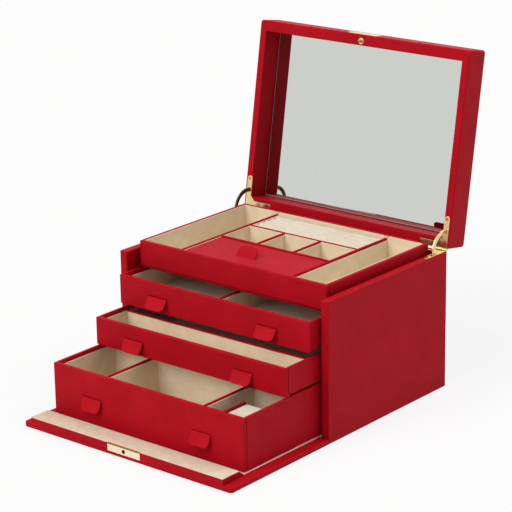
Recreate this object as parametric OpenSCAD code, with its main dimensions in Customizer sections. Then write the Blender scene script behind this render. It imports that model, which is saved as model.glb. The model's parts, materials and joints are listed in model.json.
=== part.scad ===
// A leather jewellery case: a mirrored lid on quadrant hinges, a fixed tray with a hinged cover, three
// drawers and a fall front that lets down.
// Millimetres. X runs along the front from left to right, Y runs to the back and Z runs up. The origin is
// the centre of the case's base, on the surface it stands on. Sub-parts are drawn in a front frame, where
// y = 0 is the front edge of the side panels, and in_case() moves them into the part's frame.
// The case is drawn open: lid up, fall front flat, drawers pulled out in steps.

/* [Carcass] */
// Width of the case across the front
case_w = 320; // [300:1:360]
// Depth of the side panels from front edge to back
case_d = 233.6; // [229:0.2:260]
// Thickness of a leather-covered side panel
panel_t = 11.1; // [10.6:0.1:14]
// Thickness of the back panel
back_t = 8; // [8:0.1:10]
// How far the floor's lining stands above the fall front's lining
floor_step = 0.2; // [0:0.1:4]
// Thickness of the suede lining glued on the base panel
floor_lining_t = 1; // [0.8:0.1:3]
// Thickness of the cheek boards that line the side panels
cheek_t = 2; // [1:0.1:3]
// How far the cheeks, the tray and the closed drawers stand back from the front edge
inner_setback = 18.2; // [17.4:0.1:24]
// How far the base panel stands back from the front edge
base_setback = 2; // [1.9:0.1:4]
// Thickness of a drawer shelf
shelf_t = 2; // [1:0.1:4]
// Free space between the middle drawer and the shelf above it
upper_space = 4.5; // [0.5:0.1:8]
// Free space between the top drawer and the tray shelf
tray_space = 1.2; // [0.5:0.1:6]

/* [Drawers] */
// Height of the bottom drawer
bottom_drawer_h = 63.9; // [56:0.1:90]
// Height of the middle drawer's front
middle_drawer_h = 34.9; // [30:0.1:60]
// Height of the top drawer's front
top_drawer_h = 37.1; // [30:0.1:60]
// Thickness of a drawer front
drawer_front_t = 5.5; // [4:0.1:8]
// Thickness of a drawer's side and back walls
drawer_wall_t = 4; // [3:0.1:6]
// Thickness of a drawer floor
drawer_floor_t = 2.2; // [1.5:0.1:4]
// Thickness of a drawer divider
divider_t = 3; // [2:0.1:5]
// How far an upper drawer's front hangs below its box, over the edge of its shelf
front_drop = 1.6; // [0:0.1:1.6]
// Side clearance between a drawer and a cheek
drawer_side_gap = 0.9; // [0.3:0.1:2]
// Clearance behind a closed drawer
drawer_back_gap = 1.4; // [0.5:0.1:4]
// Clearance above and below a drawer box
slide_gap = 0.3; // [0.2:0.05:0.6]
// How far the top drawer is pulled out
top_drawer_out = 35.1; // [0:0.1:150]
// How far the middle drawer is pulled out
middle_drawer_out = 79; // [0:0.1:150]
// How far the bottom drawer is pulled out
bottom_drawer_out = 153; // [30:0.1:153]
// How much lower the top drawer's divider is than its front
top_divider_drop = 4.7; // [0:0.1:12]
// How much lower the middle drawer's divider is than its front
middle_divider_drop = 4.7; // [0:0.1:12]
// How much lower the bottom drawer's dividers are than its front
bottom_divider_drop = 6; // [0:0.1:16]
// Distance from the middle drawer's front face to its divider
middle_divider_y = 51.3; // [20:0.1:120]
// Distance from the centre to each of the bottom drawer's two lengthwise dividers
bottom_divider_x = 74.5; // [40:0.1:95]
// Distance from the bottom drawer's front face to its cross divider
bottom_divider_y = 102.3; // [70:0.1:150]

/* [Pull tabs] */
// Distance from the centre to the middle of a drawer's pull tab
tab_x = 84; // [30:1:110]
// Width of a pull tab
tab_w = 29; // [20:1:40]
// Length of the hanging part of a pull tab
tab_len = 15.3; // [10:0.1:17]
// Thickness of the folded leather of a tab
tab_t = 1.5; // [1:0.1:2.5]
// Radius of a tab's free corners
tab_corner_r = 6; // [2:0.1:7]
// Angle between a hanging tab and the drawer front
tab_angle = 27; // [15:1:27]
// How far a drawer's tab reaches out of its slit before it folds down
tab_lip = 1.2; // [1:0.1:2]
// Clearance around a tab in its slit
tab_slit_gap = 0.1; // [0.05:0.01:0.3]

/* [Watch pillow] */
// Width of the pillow in the bottom drawer
pillow_w = 40.5; // [20:0.1:50]
// Front to back length of the pillow
pillow_d = 53; // [30:0.5:80]
// Height of the pillow
pillow_h = 53.2; // [20:0.1:53.5]
// Clearance between the pillow and the drawer walls
pillow_gap = 0.3; // [0.2:0.1:2]

/* [Tray] */
// Side clearance between the tray and a cheek
tray_side_gap = 2.9; // [1:0.1:5]
// Distance from the back of the tray to the back of the side panels
tray_back_space = 15.8; // [15.4:0.1:25]
// Height of the tray
tray_h = 31.4; // [28:0.1:40]
// How far the tray's rim stands above the side panels
tray_rise = 11.4; // [6:0.1:14]
// Thickness of the tray's outer walls
tray_wall_t = 5; // [3:0.1:7]
// Thickness of the tray floor
tray_floor_t = 2.6; // [1.5:0.1:5]
// Distance from the centre to the two lengthwise tray dividers
column_x = 85; // [70:0.1:110]
// Thickness of the tray dividers
tray_divider_t = 3; // [2:0.1:5]
// How much lower the tray dividers are than the tray's rim
tray_divider_drop = 2.8; // [2:0.1:3.5]
// How much lower the small cell dividers are than the tray's rim
cell_divider_drop = 3.1; // [3:0.1:12]
// Distance from the centre to the two small cell dividers
cell_x = 28.3; // [20:0.1:45]
// Distance from the tray's front face to the divider behind the cover
cover_divider_y = 81.8; // [70:0.1:90]
// Distance from the tray's front face to the divider in front of the ring rolls
ring_divider_y = 137.3; // [110:0.1:145]
// Number of ring rolls
roll_count = 5; // [3:1:7]
// Height of a ring roll above the tray floor
roll_h = 24.6; // [16:0.1:25]
// Gap between neighbouring ring rolls and at their ends
roll_gap = 0.4; // [0.3:0.1:1]

/* [Tray cover] */
// Side clearance between the tray cover and the dividers
cover_side_gap = 1.5; // [0.3:0.1:3]
// Clearance in front of the tray cover
cover_front_gap = 0.6; // [0.3:0.1:2]
// Thickness of the tray cover
cover_t = 2.5; // [1.5:0.1:4]
// How much lower the cover is than the tray's rim
cover_drop = 4.3; // [4:0.1:6]
// Thickness of the leather strip that the cover hinges on
cover_strip_t = 0.4; // [0.3:0.1:1]
// Clearance between the cover and the strip
cover_strip_gap = 0.2; // [0.1:0.05:0.4]
// Height of the hinge strip
cover_strip_h = 6; // [3:0.5:10]
// Depth of the ledge that the cover rests on
ledge_d = 3; // [2:0.1:6]
// Height of the ledge
ledge_h = 3; // [2:0.1:6]
// Clearance between the ledge and the cover
ledge_gap = 0.2; // [0.1:0.05:0.4]
// Distance from the cover's front edge to its tab's slit
cover_tab_y = 28.2; // [12:0.1:40]
// Sideways place of the cover's tab
cover_tab_x = -4; // [-30:0.5:30]
// Width of the cover's tab
cover_tab_w = 29; // [20:0.5:36]
// Length of the standing part of the cover's tab
cover_tab_len = 14.5; // [10:0.5:16]
// Lean of the cover's tab back from upright
cover_tab_lean = 40; // [30:1:50]

/* [Lid] */
// Height of the lid from its rim to its outer top
lid_h = 35.3; // [32:0.1:45]
// Thickness of the lid's side walls
lid_side_t = 10.2; // [10:0.1:12]
// Thickness of the lid's front wall
lid_front_t = 13.8; // [13:0.1:16]
// Thickness of the lid's back wall
lid_back_t = 13; // [10:0.1:14]
// Thickness of the lid's top panel
lid_top_t = 3.8; // [2:0.1:6]
// Thickness of the board behind the mirror
mirror_board_t = 1.5; // [1:0.1:2.5]
// Thickness of the mirror
mirror_t = 2.5; // [2:0.1:3]
// Clearance around the edge of the mirror and its board
mirror_gap = 0.1; // [0.05:0.05:0.5]
// Gap between the closed lid's rim and the side panels
lid_gap = 0.8; // [0.8:0.1:2]
// Angle at which the stays stop the lid
lid_open = 99.7; // [90:0.1:102]

/* [Quadrant hinges] */
// How far the hinge pin's centre lies behind the back of the case
pin_back = 1.2; // [1.2:0.1:2]
// Diameter of a hinge pin
pin_d = 2; // [1.5:0.1:2.4]
// Radial clearance of the pin in the lid's knuckle
pin_fit = 0.05; // [0.02:0.01:0.1]
// Outer radius of the knuckles
knuckle_r = 2.4; // [2.2:0.1:3]
// Length of a hinge barrel
barrel_len = 18; // [12:0.5:22]
// Distance from the side of the case to the barrel's outer end
barrel_inset = 2; // [1.8:0.1:3]
// Gap at the ends of the middle knuckle
knuckle_gap = 0.3; // [0.2:0.05:0.5]
// Clearance around a barrel in the panels
barrel_relief = 0.3; // [0.2:0.05:0.6]
// Thickness of the brass leaves
leaf_t = 1.2; // [0.8:0.1:1.6]
// Width of the bare leather edge outside a leaf
leaf_inset = 2.2; // [1.8:0.1:2.3]
// Width of the leaf's leg along the side panel
leaf_side_w = 7.6; // [6.5:0.1:7.8]
// Width of the leaf's leg along the back panel
leaf_rear_w = 5.4; // [4.5:0.1:5.6]
// Length of the leaf's leg along the side panel
leaf_side_len = 36; // [33:0.5:50]
// Length of the leaf's leg along the back panel
leaf_rear_len = 38.8; // [30:0.1:50]
// Size of the corner web between the two legs
leaf_web = 6; // [3:0.1:8]
// Distance from a leaf leg's end to its screw
leaf_screw_in = 3.5; // [3:0.1:8]
// Diameter of a screw head
screw_head_d = 4; // [3:0.1:4.4]
// Diameter of a screw shank
screw_d = 1.8; // [1.2:0.1:2.2]
// Length of a screw
screw_len = 9; // [5:0.5:12]
// Clearance round a screw head in its leaf
screw_fit = 0.05; // [0.03:0.01:0.1]

/* [Lid stays] */
// Inner radius of the curved stays
stay_r_in = 20; // [19:0.1:21]
// Outer radius of the curved stays
stay_r_out = 25; // [23:0.1:26]
// Thickness of a stay
stay_t = 2; // [1.2:0.1:2.6]
// Clearance around a stay in its slots
stay_gap = 0.3; // [0.2:0.05:0.5]
// Angle of stay that stays inside each slot when the lid is open
stay_grip = 3; // [2:0.5:6]
// Angle of free slot beyond the stay's end when the lid is shut
stay_spare = 2; // [1:0.5:4]

/* [Fall front] */
// Thickness of the fall front's board
fall_t = 6.6; // [6:0.1:7.4]
// Thickness of the fall front's suede lining
fall_lining_t = 1; // [0.4:0.1:1]
// Gap between the fall front and the case
fall_gap = 0.3; // [0.2:0.05:0.6]
// Radius of the fall front's two far corners
fall_corner_r = 4.5; // [2:0.1:8]
// Side clearance of the fall front's lining inside the case
fall_lining_gap = 1.9; // [0.2:0.1:3]
// Side clearance of the lock block inside the case
block_side_gap = 1.2; // [0.5:0.1:4]
// Height of the lock block above the fall front's outer face
block_h = 14.4; // [13.6:0.1:16]
// Length of the lock block's flat top
block_top = 25.7; // [25:0.1:32]
// Length of the lock block's sloping back
block_slope = 12; // [6:0.1:12]
// Thickness of the cream hinge strip at the fall front's root
fall_strip_t = 0.9; // [0.5:0.1:0.9]

/* [Lock] */
// Width of the strike plate
strike_w = 50; // [42:0.5:60]
// Height of the strike plate
strike_h = 8.4; // [7:0.1:9]
// Thickness of the strike plate
strike_t = 1.2; // [0.8:0.1:2]
// Distance from the closed front's outer face to the stud and its hole
stud_back = 8.3; // [8:0.1:8.6]
// Diameter of the hole that the stud enters
stud_hole_d = 5; // [4.6:0.1:5.6]
// Diameter of the lock stud
stud_d = 3.4; // [2.6:0.1:3.6]
// Length of the lock stud below the lid's rim
stud_len = 6; // [4:0.1:7]
// Free depth in the lock case beyond the stud
stud_spare = 2; // [1:0.1:4]
// Diameter of the stud's collar
collar_d = 8; // [6:0.1:10]
// Thickness of the collar
collar_t = 1.2; // [0.8:0.1:2]
// How far the collar stands out of the rim
collar_proud = 0.5; // [0.2:0.05:0.5]
// Width of the lock case
lock_w = 38; // [30:0.5:40]
// Depth of the lock case
lock_d = 18; // [12:0.5:20]
// Height of the lock case
lock_h = 8.4; // [7.6:0.1:8.6]
// Width of the two brass face plates, on the fall front and on the lid
face_plate_w = 44; // [30:0.5:60]
// Height of each face plate
face_plate_h = 13; // [10:0.5:18]
// Radius of a face plate's corners
face_plate_r = 2; // [1:0.1:4]
// Distance from a face plate to the edge where the closed front meets the lid
face_plate_in = 1; // [0.6:0.1:3]
// Thickness of the keyhole plate in the fall front
keyhole_plate_t = 1; // [0.6:0.1:1.4]
// How deep the keyhole plate is let in below the leather
keyhole_plate_inset = 0.2; // [0.1:0.1:0.6]
// Diameter of the keyhole
keyhole_d = 3; // [2:0.1:3.6]
// How far the lid's plate stands out of the leather
lid_plate_t = 1.2; // [0.6:0.1:2]

/* [Hidden] */

// Colours of the materials
leather_red = "firebrick";
leather_dark = "darkred";
suede = "tan";
brass = "goldenrod";
glass = "silver";

// Facets of the round parts
$fn = 48;
// Length that carries a cut past a face, and angle that carries a stay's slot past one
cut = 0.5;
stay_mouth = 10;

// Half widths, from the outside in
half_w = case_w / 2;
inner_half = half_w - panel_t;
cheek_half = inner_half - cheek_t;
drawer_half = cheek_half - drawer_side_gap;
tray_half = cheek_half - tray_side_gap;
inner_back = case_d - back_t;

// Heights, from the floor of the case up
floor_z = fall_t + fall_lining_t + floor_step;
base_t = floor_z - floor_lining_t;
bottom_z = floor_z + slide_gap;
lower_shelf_z = bottom_z + bottom_drawer_h + slide_gap;
middle_z = lower_shelf_z + shelf_t + slide_gap;
upper_shelf_z = middle_z - front_drop + middle_drawer_h + upper_space;
top_z = upper_shelf_z + shelf_t + slide_gap;
tray_shelf_z = top_z - front_drop + top_drawer_h + tray_space;
tray_z = tray_shelf_z + shelf_t;
tray_top = tray_z + tray_h;
case_h = tray_top - tray_rise;

// Drawer boxes
drawer_d = inner_back - drawer_back_gap - inner_setback;
shelf_front = inner_setback + drawer_front_t + slide_gap;

// Tray and cover
tray_floor_top = tray_z + tray_floor_t;
divider_top = tray_top - tray_divider_drop;
cell_top = tray_top - cell_divider_drop;
tray_in = inner_setback + tray_wall_t;
tray_in_back = case_d - tray_back_space - tray_wall_t;
column_in = column_x - tray_divider_t / 2;
cover_divider_front = inner_setback + cover_divider_y - tray_divider_t / 2;
ring_divider_front = inner_setback + ring_divider_y - tray_divider_t / 2;
ring_start = ring_divider_front + tray_divider_t;
cover_z = tray_top - cover_drop;
cover_front = tray_in + cover_front_gap;
cover_rear = cover_divider_front - cover_strip_t - cover_strip_gap;
cover_half = column_in - cover_side_gap;
roll_pitch = (tray_in_back - ring_start) / roll_count;
roll_r = roll_pitch / 2 - roll_gap / 2;

// Fall front: closed, its outer face is flush with the lid's front
fall_len = case_h;
fall_end = -fall_gap - fall_len;
front_plane = -fall_t - fall_gap;
block_half = inner_half - block_side_gap;
block_rear = fall_end + block_top;
block_foot = block_rear + block_slope;

// Lid, drawn closed and then opened about the hinge pin
rim_z = case_h + lid_gap;
lid_front = front_plane;
lid_inner_half = half_w - lid_side_t;
lid_wall_h = lid_h - lid_top_t;
board_z = rim_z + lid_wall_h - mirror_board_t;
mirror_z = board_z - mirror_t;
pin_y = case_d + pin_back;
pin_z = case_h + lid_gap / 2;

// Hinge barrels: two knuckles on the case and one between them on the lid
barrel_out = half_w - barrel_inset;
barrel_in = barrel_out - barrel_len;
knuckle_len = (barrel_len - 2 * knuckle_gap) / 3;
mid_knuckle_in = barrel_in + knuckle_len + knuckle_gap;
mid_knuckle_out = mid_knuckle_in + knuckle_len;
leaf_out = half_w - leaf_inset;
leaf_in = leaf_out - leaf_side_w;
leaf_back = case_d - leaf_inset;
leaf_rear_front = leaf_back - leaf_rear_w;
leaf_side_end = case_d - leaf_side_len - leaf_side_w / 2;
leaf_rear_end = leaf_out - leaf_rear_len - leaf_rear_w / 2;
stay_x = leaf_out - leaf_side_w / 2;
stay_slot_end = lid_open / 2 + stay_grip + stay_spare;

// --- Helpers ---

// Moves the front frame into the part's frame
module in_case() {
    translate([0, -case_d / 2, 0]) children();
}

// Swings a closed lid to its open place about the hinge pin
module lid_opened() {
    translate([0, pin_y, pin_z]) rotate([-lid_open, 0, 0]) translate([0, -pin_y, -pin_z]) children();
}

// Box between two opposite corners
module span(low, high) {
    translate(low) cube(high - low);
}

// The children as drawn and mirrored to the left side
module both_sides() {
    children();
    mirror([1, 0, 0]) children();
}

// Cylinder along X between two places on a given axis line
module rod_x(x0, x1, y, z, r) {
    translate([x0, y, z]) rotate([0, 90, 0]) cylinder(h = x1 - x0, r = r);
}

// Sector of a flat ring round the hinge pin, from angle a0 to a1 above the line to the front
module pin_sector(r_in, r_out, t, a0, a1) {
    translate([stay_x + t / 2, pin_y, pin_z])
        rotate([90, 0, -90])
            rotate([0, 0, a0])
                rotate_extrude(angle = a1 - a0) translate([r_in, 0]) square([r_out - r_in, t]);
}

// Rectangle w by h with its four corners rounded, centred across X and starting at y = 0
module rounded_plate(w, h, r) {
    translate([-w / 2 + r, 0]) square([w - 2 * r, h]);
    translate([-w / 2, r]) square([w, h - 2 * r]);
    for (x = [-w / 2 + r, w / 2 - r], y = [r, h - r]) translate([x, y]) circle(r);
}

// Tab outline: square at its root at y = 0, with two rounded corners at its free end
module tab_outline(w, len) {
    translate([-w / 2, 0]) square([w, len - tab_corner_r]);
    translate([-w / 2 + tab_corner_r, 0]) square([w - 2 * tab_corner_r, len]);
    for (x = [-1, 1]) translate([x * (w / 2 - tab_corner_r), len - tab_corner_r]) circle(tab_corner_r);
}

// --- Carcass ---

// Outline of the right brass leaf, without its knuckle tongues
module leaf_outline() {
    translate([leaf_in, case_d - leaf_side_len]) square([leaf_side_w, leaf_side_len - leaf_inset]);
    translate([leaf_in + leaf_side_w / 2, case_d - leaf_side_len]) circle(leaf_side_w / 2);
    translate([leaf_out - leaf_rear_len, leaf_rear_front]) square([leaf_rear_len, leaf_rear_w]);
    translate([leaf_out - leaf_rear_len, leaf_rear_front + leaf_rear_w / 2]) circle(leaf_rear_w / 2);
    polygon([
        [leaf_in - leaf_web, leaf_rear_front],
        [leaf_in, leaf_rear_front - leaf_web],
        [leaf_in, leaf_rear_front],
    ]);
}

// Tongue that carries a knuckle from the leaf out to the pin
module leaf_tongue(x0, x1) {
    translate([x0, leaf_rear_front]) square([x1 - x0, pin_y - leaf_rear_front]);
}

module case_leaf_plan() {
    leaf_outline();
    leaf_tongue(barrel_in, barrel_in + knuckle_len);
    leaf_tongue(barrel_out - knuckle_len, barrel_out);
}

module lid_leaf_plan() {
    leaf_outline();
    leaf_tongue(mid_knuckle_in, mid_knuckle_out);
}

// Places of the two screws of a leaf
leaf_screws = [
    [leaf_in + leaf_side_w / 2, leaf_side_end + leaf_screw_in],
    [leaf_rear_end + leaf_screw_in, leaf_rear_front + leaf_rear_w / 2],
];

// Cut for the case leaf, its knuckles, its screws and the stay, on the right side
module case_hinge_cut() {
    translate([0, 0, case_h - leaf_t]) linear_extrude(leaf_t + cut) case_leaf_plan();
    rod_x(barrel_in - knuckle_gap, barrel_out + knuckle_gap, pin_y, pin_z, knuckle_r + barrel_relief);
    for (p = leaf_screws) translate([p[0], p[1], case_h - screw_len]) cylinder(h = screw_len, d = screw_d);
    case_stay_slot();
}

module case_stay_slot() {
    pin_sector(stay_r_in - stay_gap, stay_r_out + stay_gap, stay_t + 2 * stay_gap,
        -stay_slot_end, stay_mouth);
}

module side_panel() {
    difference() {
        span([inner_half, 0, 0], [half_w, case_d, case_h]);
        case_hinge_cut();
    }
}

module side_panel_left() {
    color(leather_red) in_case() mirror([1, 0, 0]) side_panel();
}

module side_panel_right() {
    color(leather_red) in_case() side_panel();
}

module back_panel() {
    color(leather_red) in_case() difference() {
        span([-inner_half, inner_back, 0], [inner_half, case_d, case_h]);
        both_sides() case_hinge_cut();
    }
}

module base_panel() {
    color(leather_dark) in_case()
        span([-inner_half, base_setback, 0], [inner_half, inner_back, base_t]);
}

module inner_cheeks() {
    color(leather_dark) in_case() both_sides()
        span([cheek_half, inner_setback, base_t], [inner_half, inner_back, tray_z]);
}

module floor_lining() {
    color(suede) in_case()
        span([-cheek_half, base_setback, base_t], [cheek_half, inner_back, floor_z]);
}

module drawer_shelves() {
    color(leather_dark) in_case() {
        for (z = [lower_shelf_z, upper_shelf_z])
            span([-cheek_half, shelf_front, z], [cheek_half, inner_back, z + shelf_t]);
        span([-cheek_half, inner_setback, tray_shelf_z], [cheek_half, inner_back, tray_z]);
    }
}

module fall_front_hinge_strip() {
    color(suede) in_case()
        span([-block_half, base_setback - fall_strip_t, fall_gap],
            [block_half, base_setback, floor_z]);
}

// --- Tray ---

module tray_front() {
    color(leather_red) in_case()
        span([-tray_half, inner_setback, tray_z], [tray_half, tray_in, tray_top]);
}

module tray_back() {
    color(leather_red) in_case()
        span([-tray_half, tray_in_back, tray_z], [tray_half, tray_in_back + tray_wall_t, tray_top]);
}

module tray_sides() {
    color(leather_red) in_case() both_sides()
        span([tray_half - tray_wall_t, tray_in, tray_z], [tray_half, tray_in_back, tray_top]);
}

module tray_floor() {
    color(suede) in_case()
        span([-tray_half + tray_wall_t, tray_in, tray_z],
            [tray_half - tray_wall_t, tray_in_back, tray_floor_top]);
}

module tray_column_dividers() {
    color(leather_dark) in_case() both_sides()
        span([column_in, tray_in, tray_floor_top], [column_in + tray_divider_t, tray_in_back, divider_top]);
}

module tray_cross_dividers() {
    color(leather_dark) in_case()
        for (y = [cover_divider_front, ring_divider_front])
            span([-column_in, y, tray_floor_top], [column_in, y + tray_divider_t, divider_top]);
}

module tray_cell_dividers() {
    color(leather_dark) in_case() both_sides()
        span([cell_x - tray_divider_t / 2, cover_divider_front + tray_divider_t, tray_floor_top],
            [cell_x + tray_divider_t / 2, ring_divider_front, cell_top]);
}

module ring_roll(y) {
    span([-column_in + roll_gap, y - roll_r, tray_floor_top],
        [column_in - roll_gap, y + roll_r, tray_floor_top + roll_h - roll_r]);
    rod_x(-column_in + roll_gap, column_in - roll_gap, y, tray_floor_top + roll_h - roll_r, roll_r);
}

module ring_rolls() {
    color(suede) in_case()
        for (i = [0:roll_count - 1]) ring_roll(ring_start + (i + 0.5) * roll_pitch);
}

module cover_ledge() {
    ledge_top = cover_z - cover_t - ledge_gap;
    color(suede) in_case()
        span([-column_in, tray_in, ledge_top - ledge_h], [column_in, tray_in + ledge_d, ledge_top]);
}

module cover_hinge_strip() {
    color(leather_dark) in_case()
        span([-cover_half, cover_divider_front - cover_strip_t, cover_z - cover_strip_gap - cover_strip_h],
            [cover_half, cover_divider_front, cover_z - cover_strip_gap]);
}

// Plate of the cover's tab, from its root below the cover's top face up to its free end
module cover_tab_blank(t, w, root) {
    translate([cover_tab_x, cover_front + cover_tab_y, cover_z])
        rotate([90 - cover_tab_lean, 0, 0])
            translate([0, 0, -t / 2])
                linear_extrude(t) {
                    tab_outline(w, cover_tab_len);
                    translate([-w / 2, -root]) square([w, root + cut]);
                }
}

module tray_cover() {
    color(leather_red) in_case() difference() {
        span([-cover_half, cover_front, cover_z - cover_t], [cover_half, cover_rear, cover_z]);
        cover_tab_blank(tab_t + 2 * tab_slit_gap, cover_tab_w + 2 * tab_slit_gap, 3 * cover_t);
    }
}

module tray_cover_tab() {
    color(leather_red) in_case() cover_tab_blank(tab_t, cover_tab_w, cover_t / 2);
}

// --- Hinges and stays ---

// Brass leaf of the right side with its two knuckles, bored for the pin, the screws and the stay
module case_hinge_leaf() {
    difference() {
        union() {
            translate([0, 0, case_h - leaf_t]) linear_extrude(leaf_t) case_leaf_plan();
            rod_x(barrel_in, barrel_in + knuckle_len, pin_y, pin_z, knuckle_r);
            rod_x(barrel_out - knuckle_len, barrel_out, pin_y, pin_z, knuckle_r);
        }
        rod_x(barrel_in - cut, barrel_out + cut, pin_y, pin_z, pin_d / 2);
        leaf_screw_holes(case_h - leaf_t - cut);
        case_stay_slot();
    }
}

module leaf_screw_holes(z) {
    for (p = leaf_screws)
        translate([p[0], p[1], z])
            cylinder(h = leaf_t + 2 * cut, r = screw_head_d / 2 + screw_fit);
}

module case_hinge_leaf_left() {
    color(brass) in_case() mirror([1, 0, 0]) case_hinge_leaf();
}

module case_hinge_leaf_right() {
    color(brass) in_case() case_hinge_leaf();
}

module hinge_pins() {
    color(brass) in_case() both_sides() rod_x(barrel_in, barrel_out, pin_y, pin_z, pin_d / 2);
}

// Flush screw with its head's face at z and its shank down (dir = -1) or up (dir = 1)
module leaf_screw(p, z, dir) {
    translate([p[0], p[1], z]) mirror([0, 0, dir < 0 ? 1 : 0]) {
        cylinder(h = leaf_t, d = screw_head_d);
        cylinder(h = screw_len, d = screw_d);
    }
}

module case_leaf_screws() {
    color(brass) in_case() both_sides() for (p = leaf_screws) leaf_screw(p, case_h, -1);
}

// Cut for the lid leaf, its knuckles, its screws and the stay, on the right side of the closed lid
module lid_hinge_cut() {
    translate([0, 0, rim_z - cut]) linear_extrude(leaf_t + cut) lid_leaf_plan();
    rod_x(barrel_in - knuckle_gap, barrel_out + knuckle_gap, pin_y, pin_z, knuckle_r + barrel_relief);
    for (p = leaf_screws) translate([p[0], p[1], rim_z]) cylinder(h = screw_len, d = screw_d);
    lid_stay_slot();
}

module lid_stay_slot() {
    pin_sector(stay_r_in - stay_gap, stay_r_out + stay_gap, stay_t + 2 * stay_gap,
        -stay_mouth, stay_slot_end);
}

module lid_hinge_leaf() {
    difference() {
        union() {
            translate([0, 0, rim_z]) linear_extrude(leaf_t) lid_leaf_plan();
            rod_x(mid_knuckle_in, mid_knuckle_out, pin_y, pin_z, knuckle_r);
        }
        rod_x(barrel_in - cut, barrel_out + cut, pin_y, pin_z, pin_d / 2 + pin_fit);
        leaf_screw_holes(rim_z - cut);
        lid_stay_slot();
    }
}

module lid_hinge_leaf_left() {
    color(brass) in_case() lid_opened() mirror([1, 0, 0]) lid_hinge_leaf();
}

module lid_hinge_leaf_right() {
    color(brass) in_case() lid_opened() lid_hinge_leaf();
}

module lid_leaf_screws() {
    color(brass) in_case() lid_opened() both_sides() for (p = leaf_screws) leaf_screw(p, rim_z, 1);
}

module lid_stay() {
    pin_sector(stay_r_in, stay_r_out, stay_t, -stay_grip, lid_open + stay_grip);
}

module lid_stay_left() {
    color(brass) in_case() mirror([1, 0, 0]) lid_stay();
}

module lid_stay_right() {
    color(brass) in_case() lid_stay();
}

// --- Lid ---

// Upright prism on a plan outline, as high as the lid's walls
module lid_prism(points) {
    translate([0, 0, rim_z]) linear_extrude(lid_wall_h) polygon(points);
}

module lid_wall_front() {
    color(leather_red) in_case() lid_opened() difference() {
        lid_prism([
            [-half_w, lid_front],
            [half_w, lid_front],
            [lid_inner_half, lid_front + lid_front_t],
            [-lid_inner_half, lid_front + lid_front_t],
        ]);
        translate([0, lid_front + stud_back, rim_z - cut])
            cylinder(h = cut + collar_t - collar_proud, d = collar_d);
    }
}

module lid_wall_back() {
    color(leather_red) in_case() lid_opened() difference() {
        lid_prism([
            [-half_w, case_d],
            [-lid_inner_half, case_d - lid_back_t],
            [lid_inner_half, case_d - lid_back_t],
            [half_w, case_d],
        ]);
        both_sides() lid_hinge_cut();
    }
}

module lid_wall_side() {
    difference() {
        lid_prism([
            [half_w, lid_front],
            [half_w, case_d],
            [lid_inner_half, case_d - lid_back_t],
            [lid_inner_half, lid_front + lid_front_t],
        ]);
        lid_hinge_cut();
    }
}

module lid_wall_left() {
    color(leather_red) in_case() lid_opened() mirror([1, 0, 0]) lid_wall_side();
}

module lid_wall_right() {
    color(leather_red) in_case() lid_opened() lid_wall_side();
}

module lid_top() {
    color(leather_red) in_case() lid_opened()
        span([-half_w, lid_front, rim_z + lid_wall_h], [half_w, case_d, rim_z + lid_h]);
}

// Sheet that fills the lid's inside between the walls, less a gap all round
module lid_sheet(z, t) {
    span([-lid_inner_half + mirror_gap, lid_front + lid_front_t + mirror_gap, z],
        [lid_inner_half - mirror_gap, case_d - lid_back_t - mirror_gap, z + t]);
}

module mirror_board() {
    color(suede) in_case() lid_opened() lid_sheet(board_z, mirror_board_t);
}

module lid_mirror() {
    color(glass) in_case() lid_opened() lid_sheet(mirror_z, mirror_t);
}

// --- Fall front ---

module fall_front() {
    far_half = half_w - fall_corner_r;
    color(leather_red) in_case() difference() {
        linear_extrude(fall_t) {
            translate([-half_w, fall_end + fall_corner_r]) square([case_w, fall_len - fall_corner_r]);
            translate([-far_half, fall_end]) square([2 * far_half, fall_corner_r]);
            for (x = [-far_half, far_half]) translate([x, fall_end + fall_corner_r]) circle(fall_corner_r);
        }
        lock_cut();
        keyhole_plate_blank(keyhole_plate_t + keyhole_plate_inset + cut, -cut);
        keyhole();
    }
}

module fall_front_lining() {
    lining_half = inner_half - fall_lining_gap;
    color(suede) in_case()
        span([-lining_half, block_foot, fall_t], [lining_half, -fall_gap, fall_t + fall_lining_t]);
}

// Space that the strike plate and the lock case fill
module lock_cut() {
    strike_blank(cut);
    lock_blank();
}

// Strike plate's block at the far end, reaching past the end face by a given length
module strike_blank(past) {
    span([-strike_w / 2, fall_end - past, stud_back - strike_h / 2],
        [strike_w / 2, fall_end + strike_t, stud_back + strike_h / 2]);
}

module lock_blank() {
    span([-lock_w / 2, fall_end + strike_t, stud_back - lock_h / 2],
        [lock_w / 2, fall_end + strike_t + lock_d, stud_back + lock_h / 2]);
}

// Bore for the stud, from the far end face inwards
module stud_bore(depth) {
    translate([0, fall_end - cut, stud_back])
        rotate([-90, 0, 0])
            cylinder(h = depth + cut, d = stud_hole_d);
}

module keyhole() {
    translate([0, fall_end + face_plate_in + face_plate_h / 2, -cut])
        cylinder(h = stud_back - lock_h / 2 + 2 * cut, d = keyhole_d);
}

// Outline of a brass face plate, starting at the edge where the closed front meets the lid
module face_plate() {
    translate([0, face_plate_in]) rounded_plate(face_plate_w, face_plate_h, face_plate_r);
}

// Keyhole plate's space with its lower face at z
module keyhole_plate_blank(t, z) {
    translate([0, fall_end, z]) linear_extrude(t) face_plate();
}

module lock_block() {
    color(leather_red) in_case() difference() {
        translate([-block_half, 0, 0])
            rotate([90, 0, 90])
                linear_extrude(2 * block_half)
                    polygon([
                        [fall_end, fall_t],
                        [block_foot, fall_t],
                        [block_rear, block_h],
                        [fall_end, block_h],
                    ]);
        lock_cut();
    }
}

module strike_plate() {
    color(brass) in_case() difference() {
        strike_blank(0);
        stud_bore(2 * strike_t);
    }
}

module lock_case() {
    color(brass) in_case() difference() {
        lock_blank();
        stud_bore(strike_t + stud_len + stud_spare);
        keyhole();
    }
}

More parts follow.
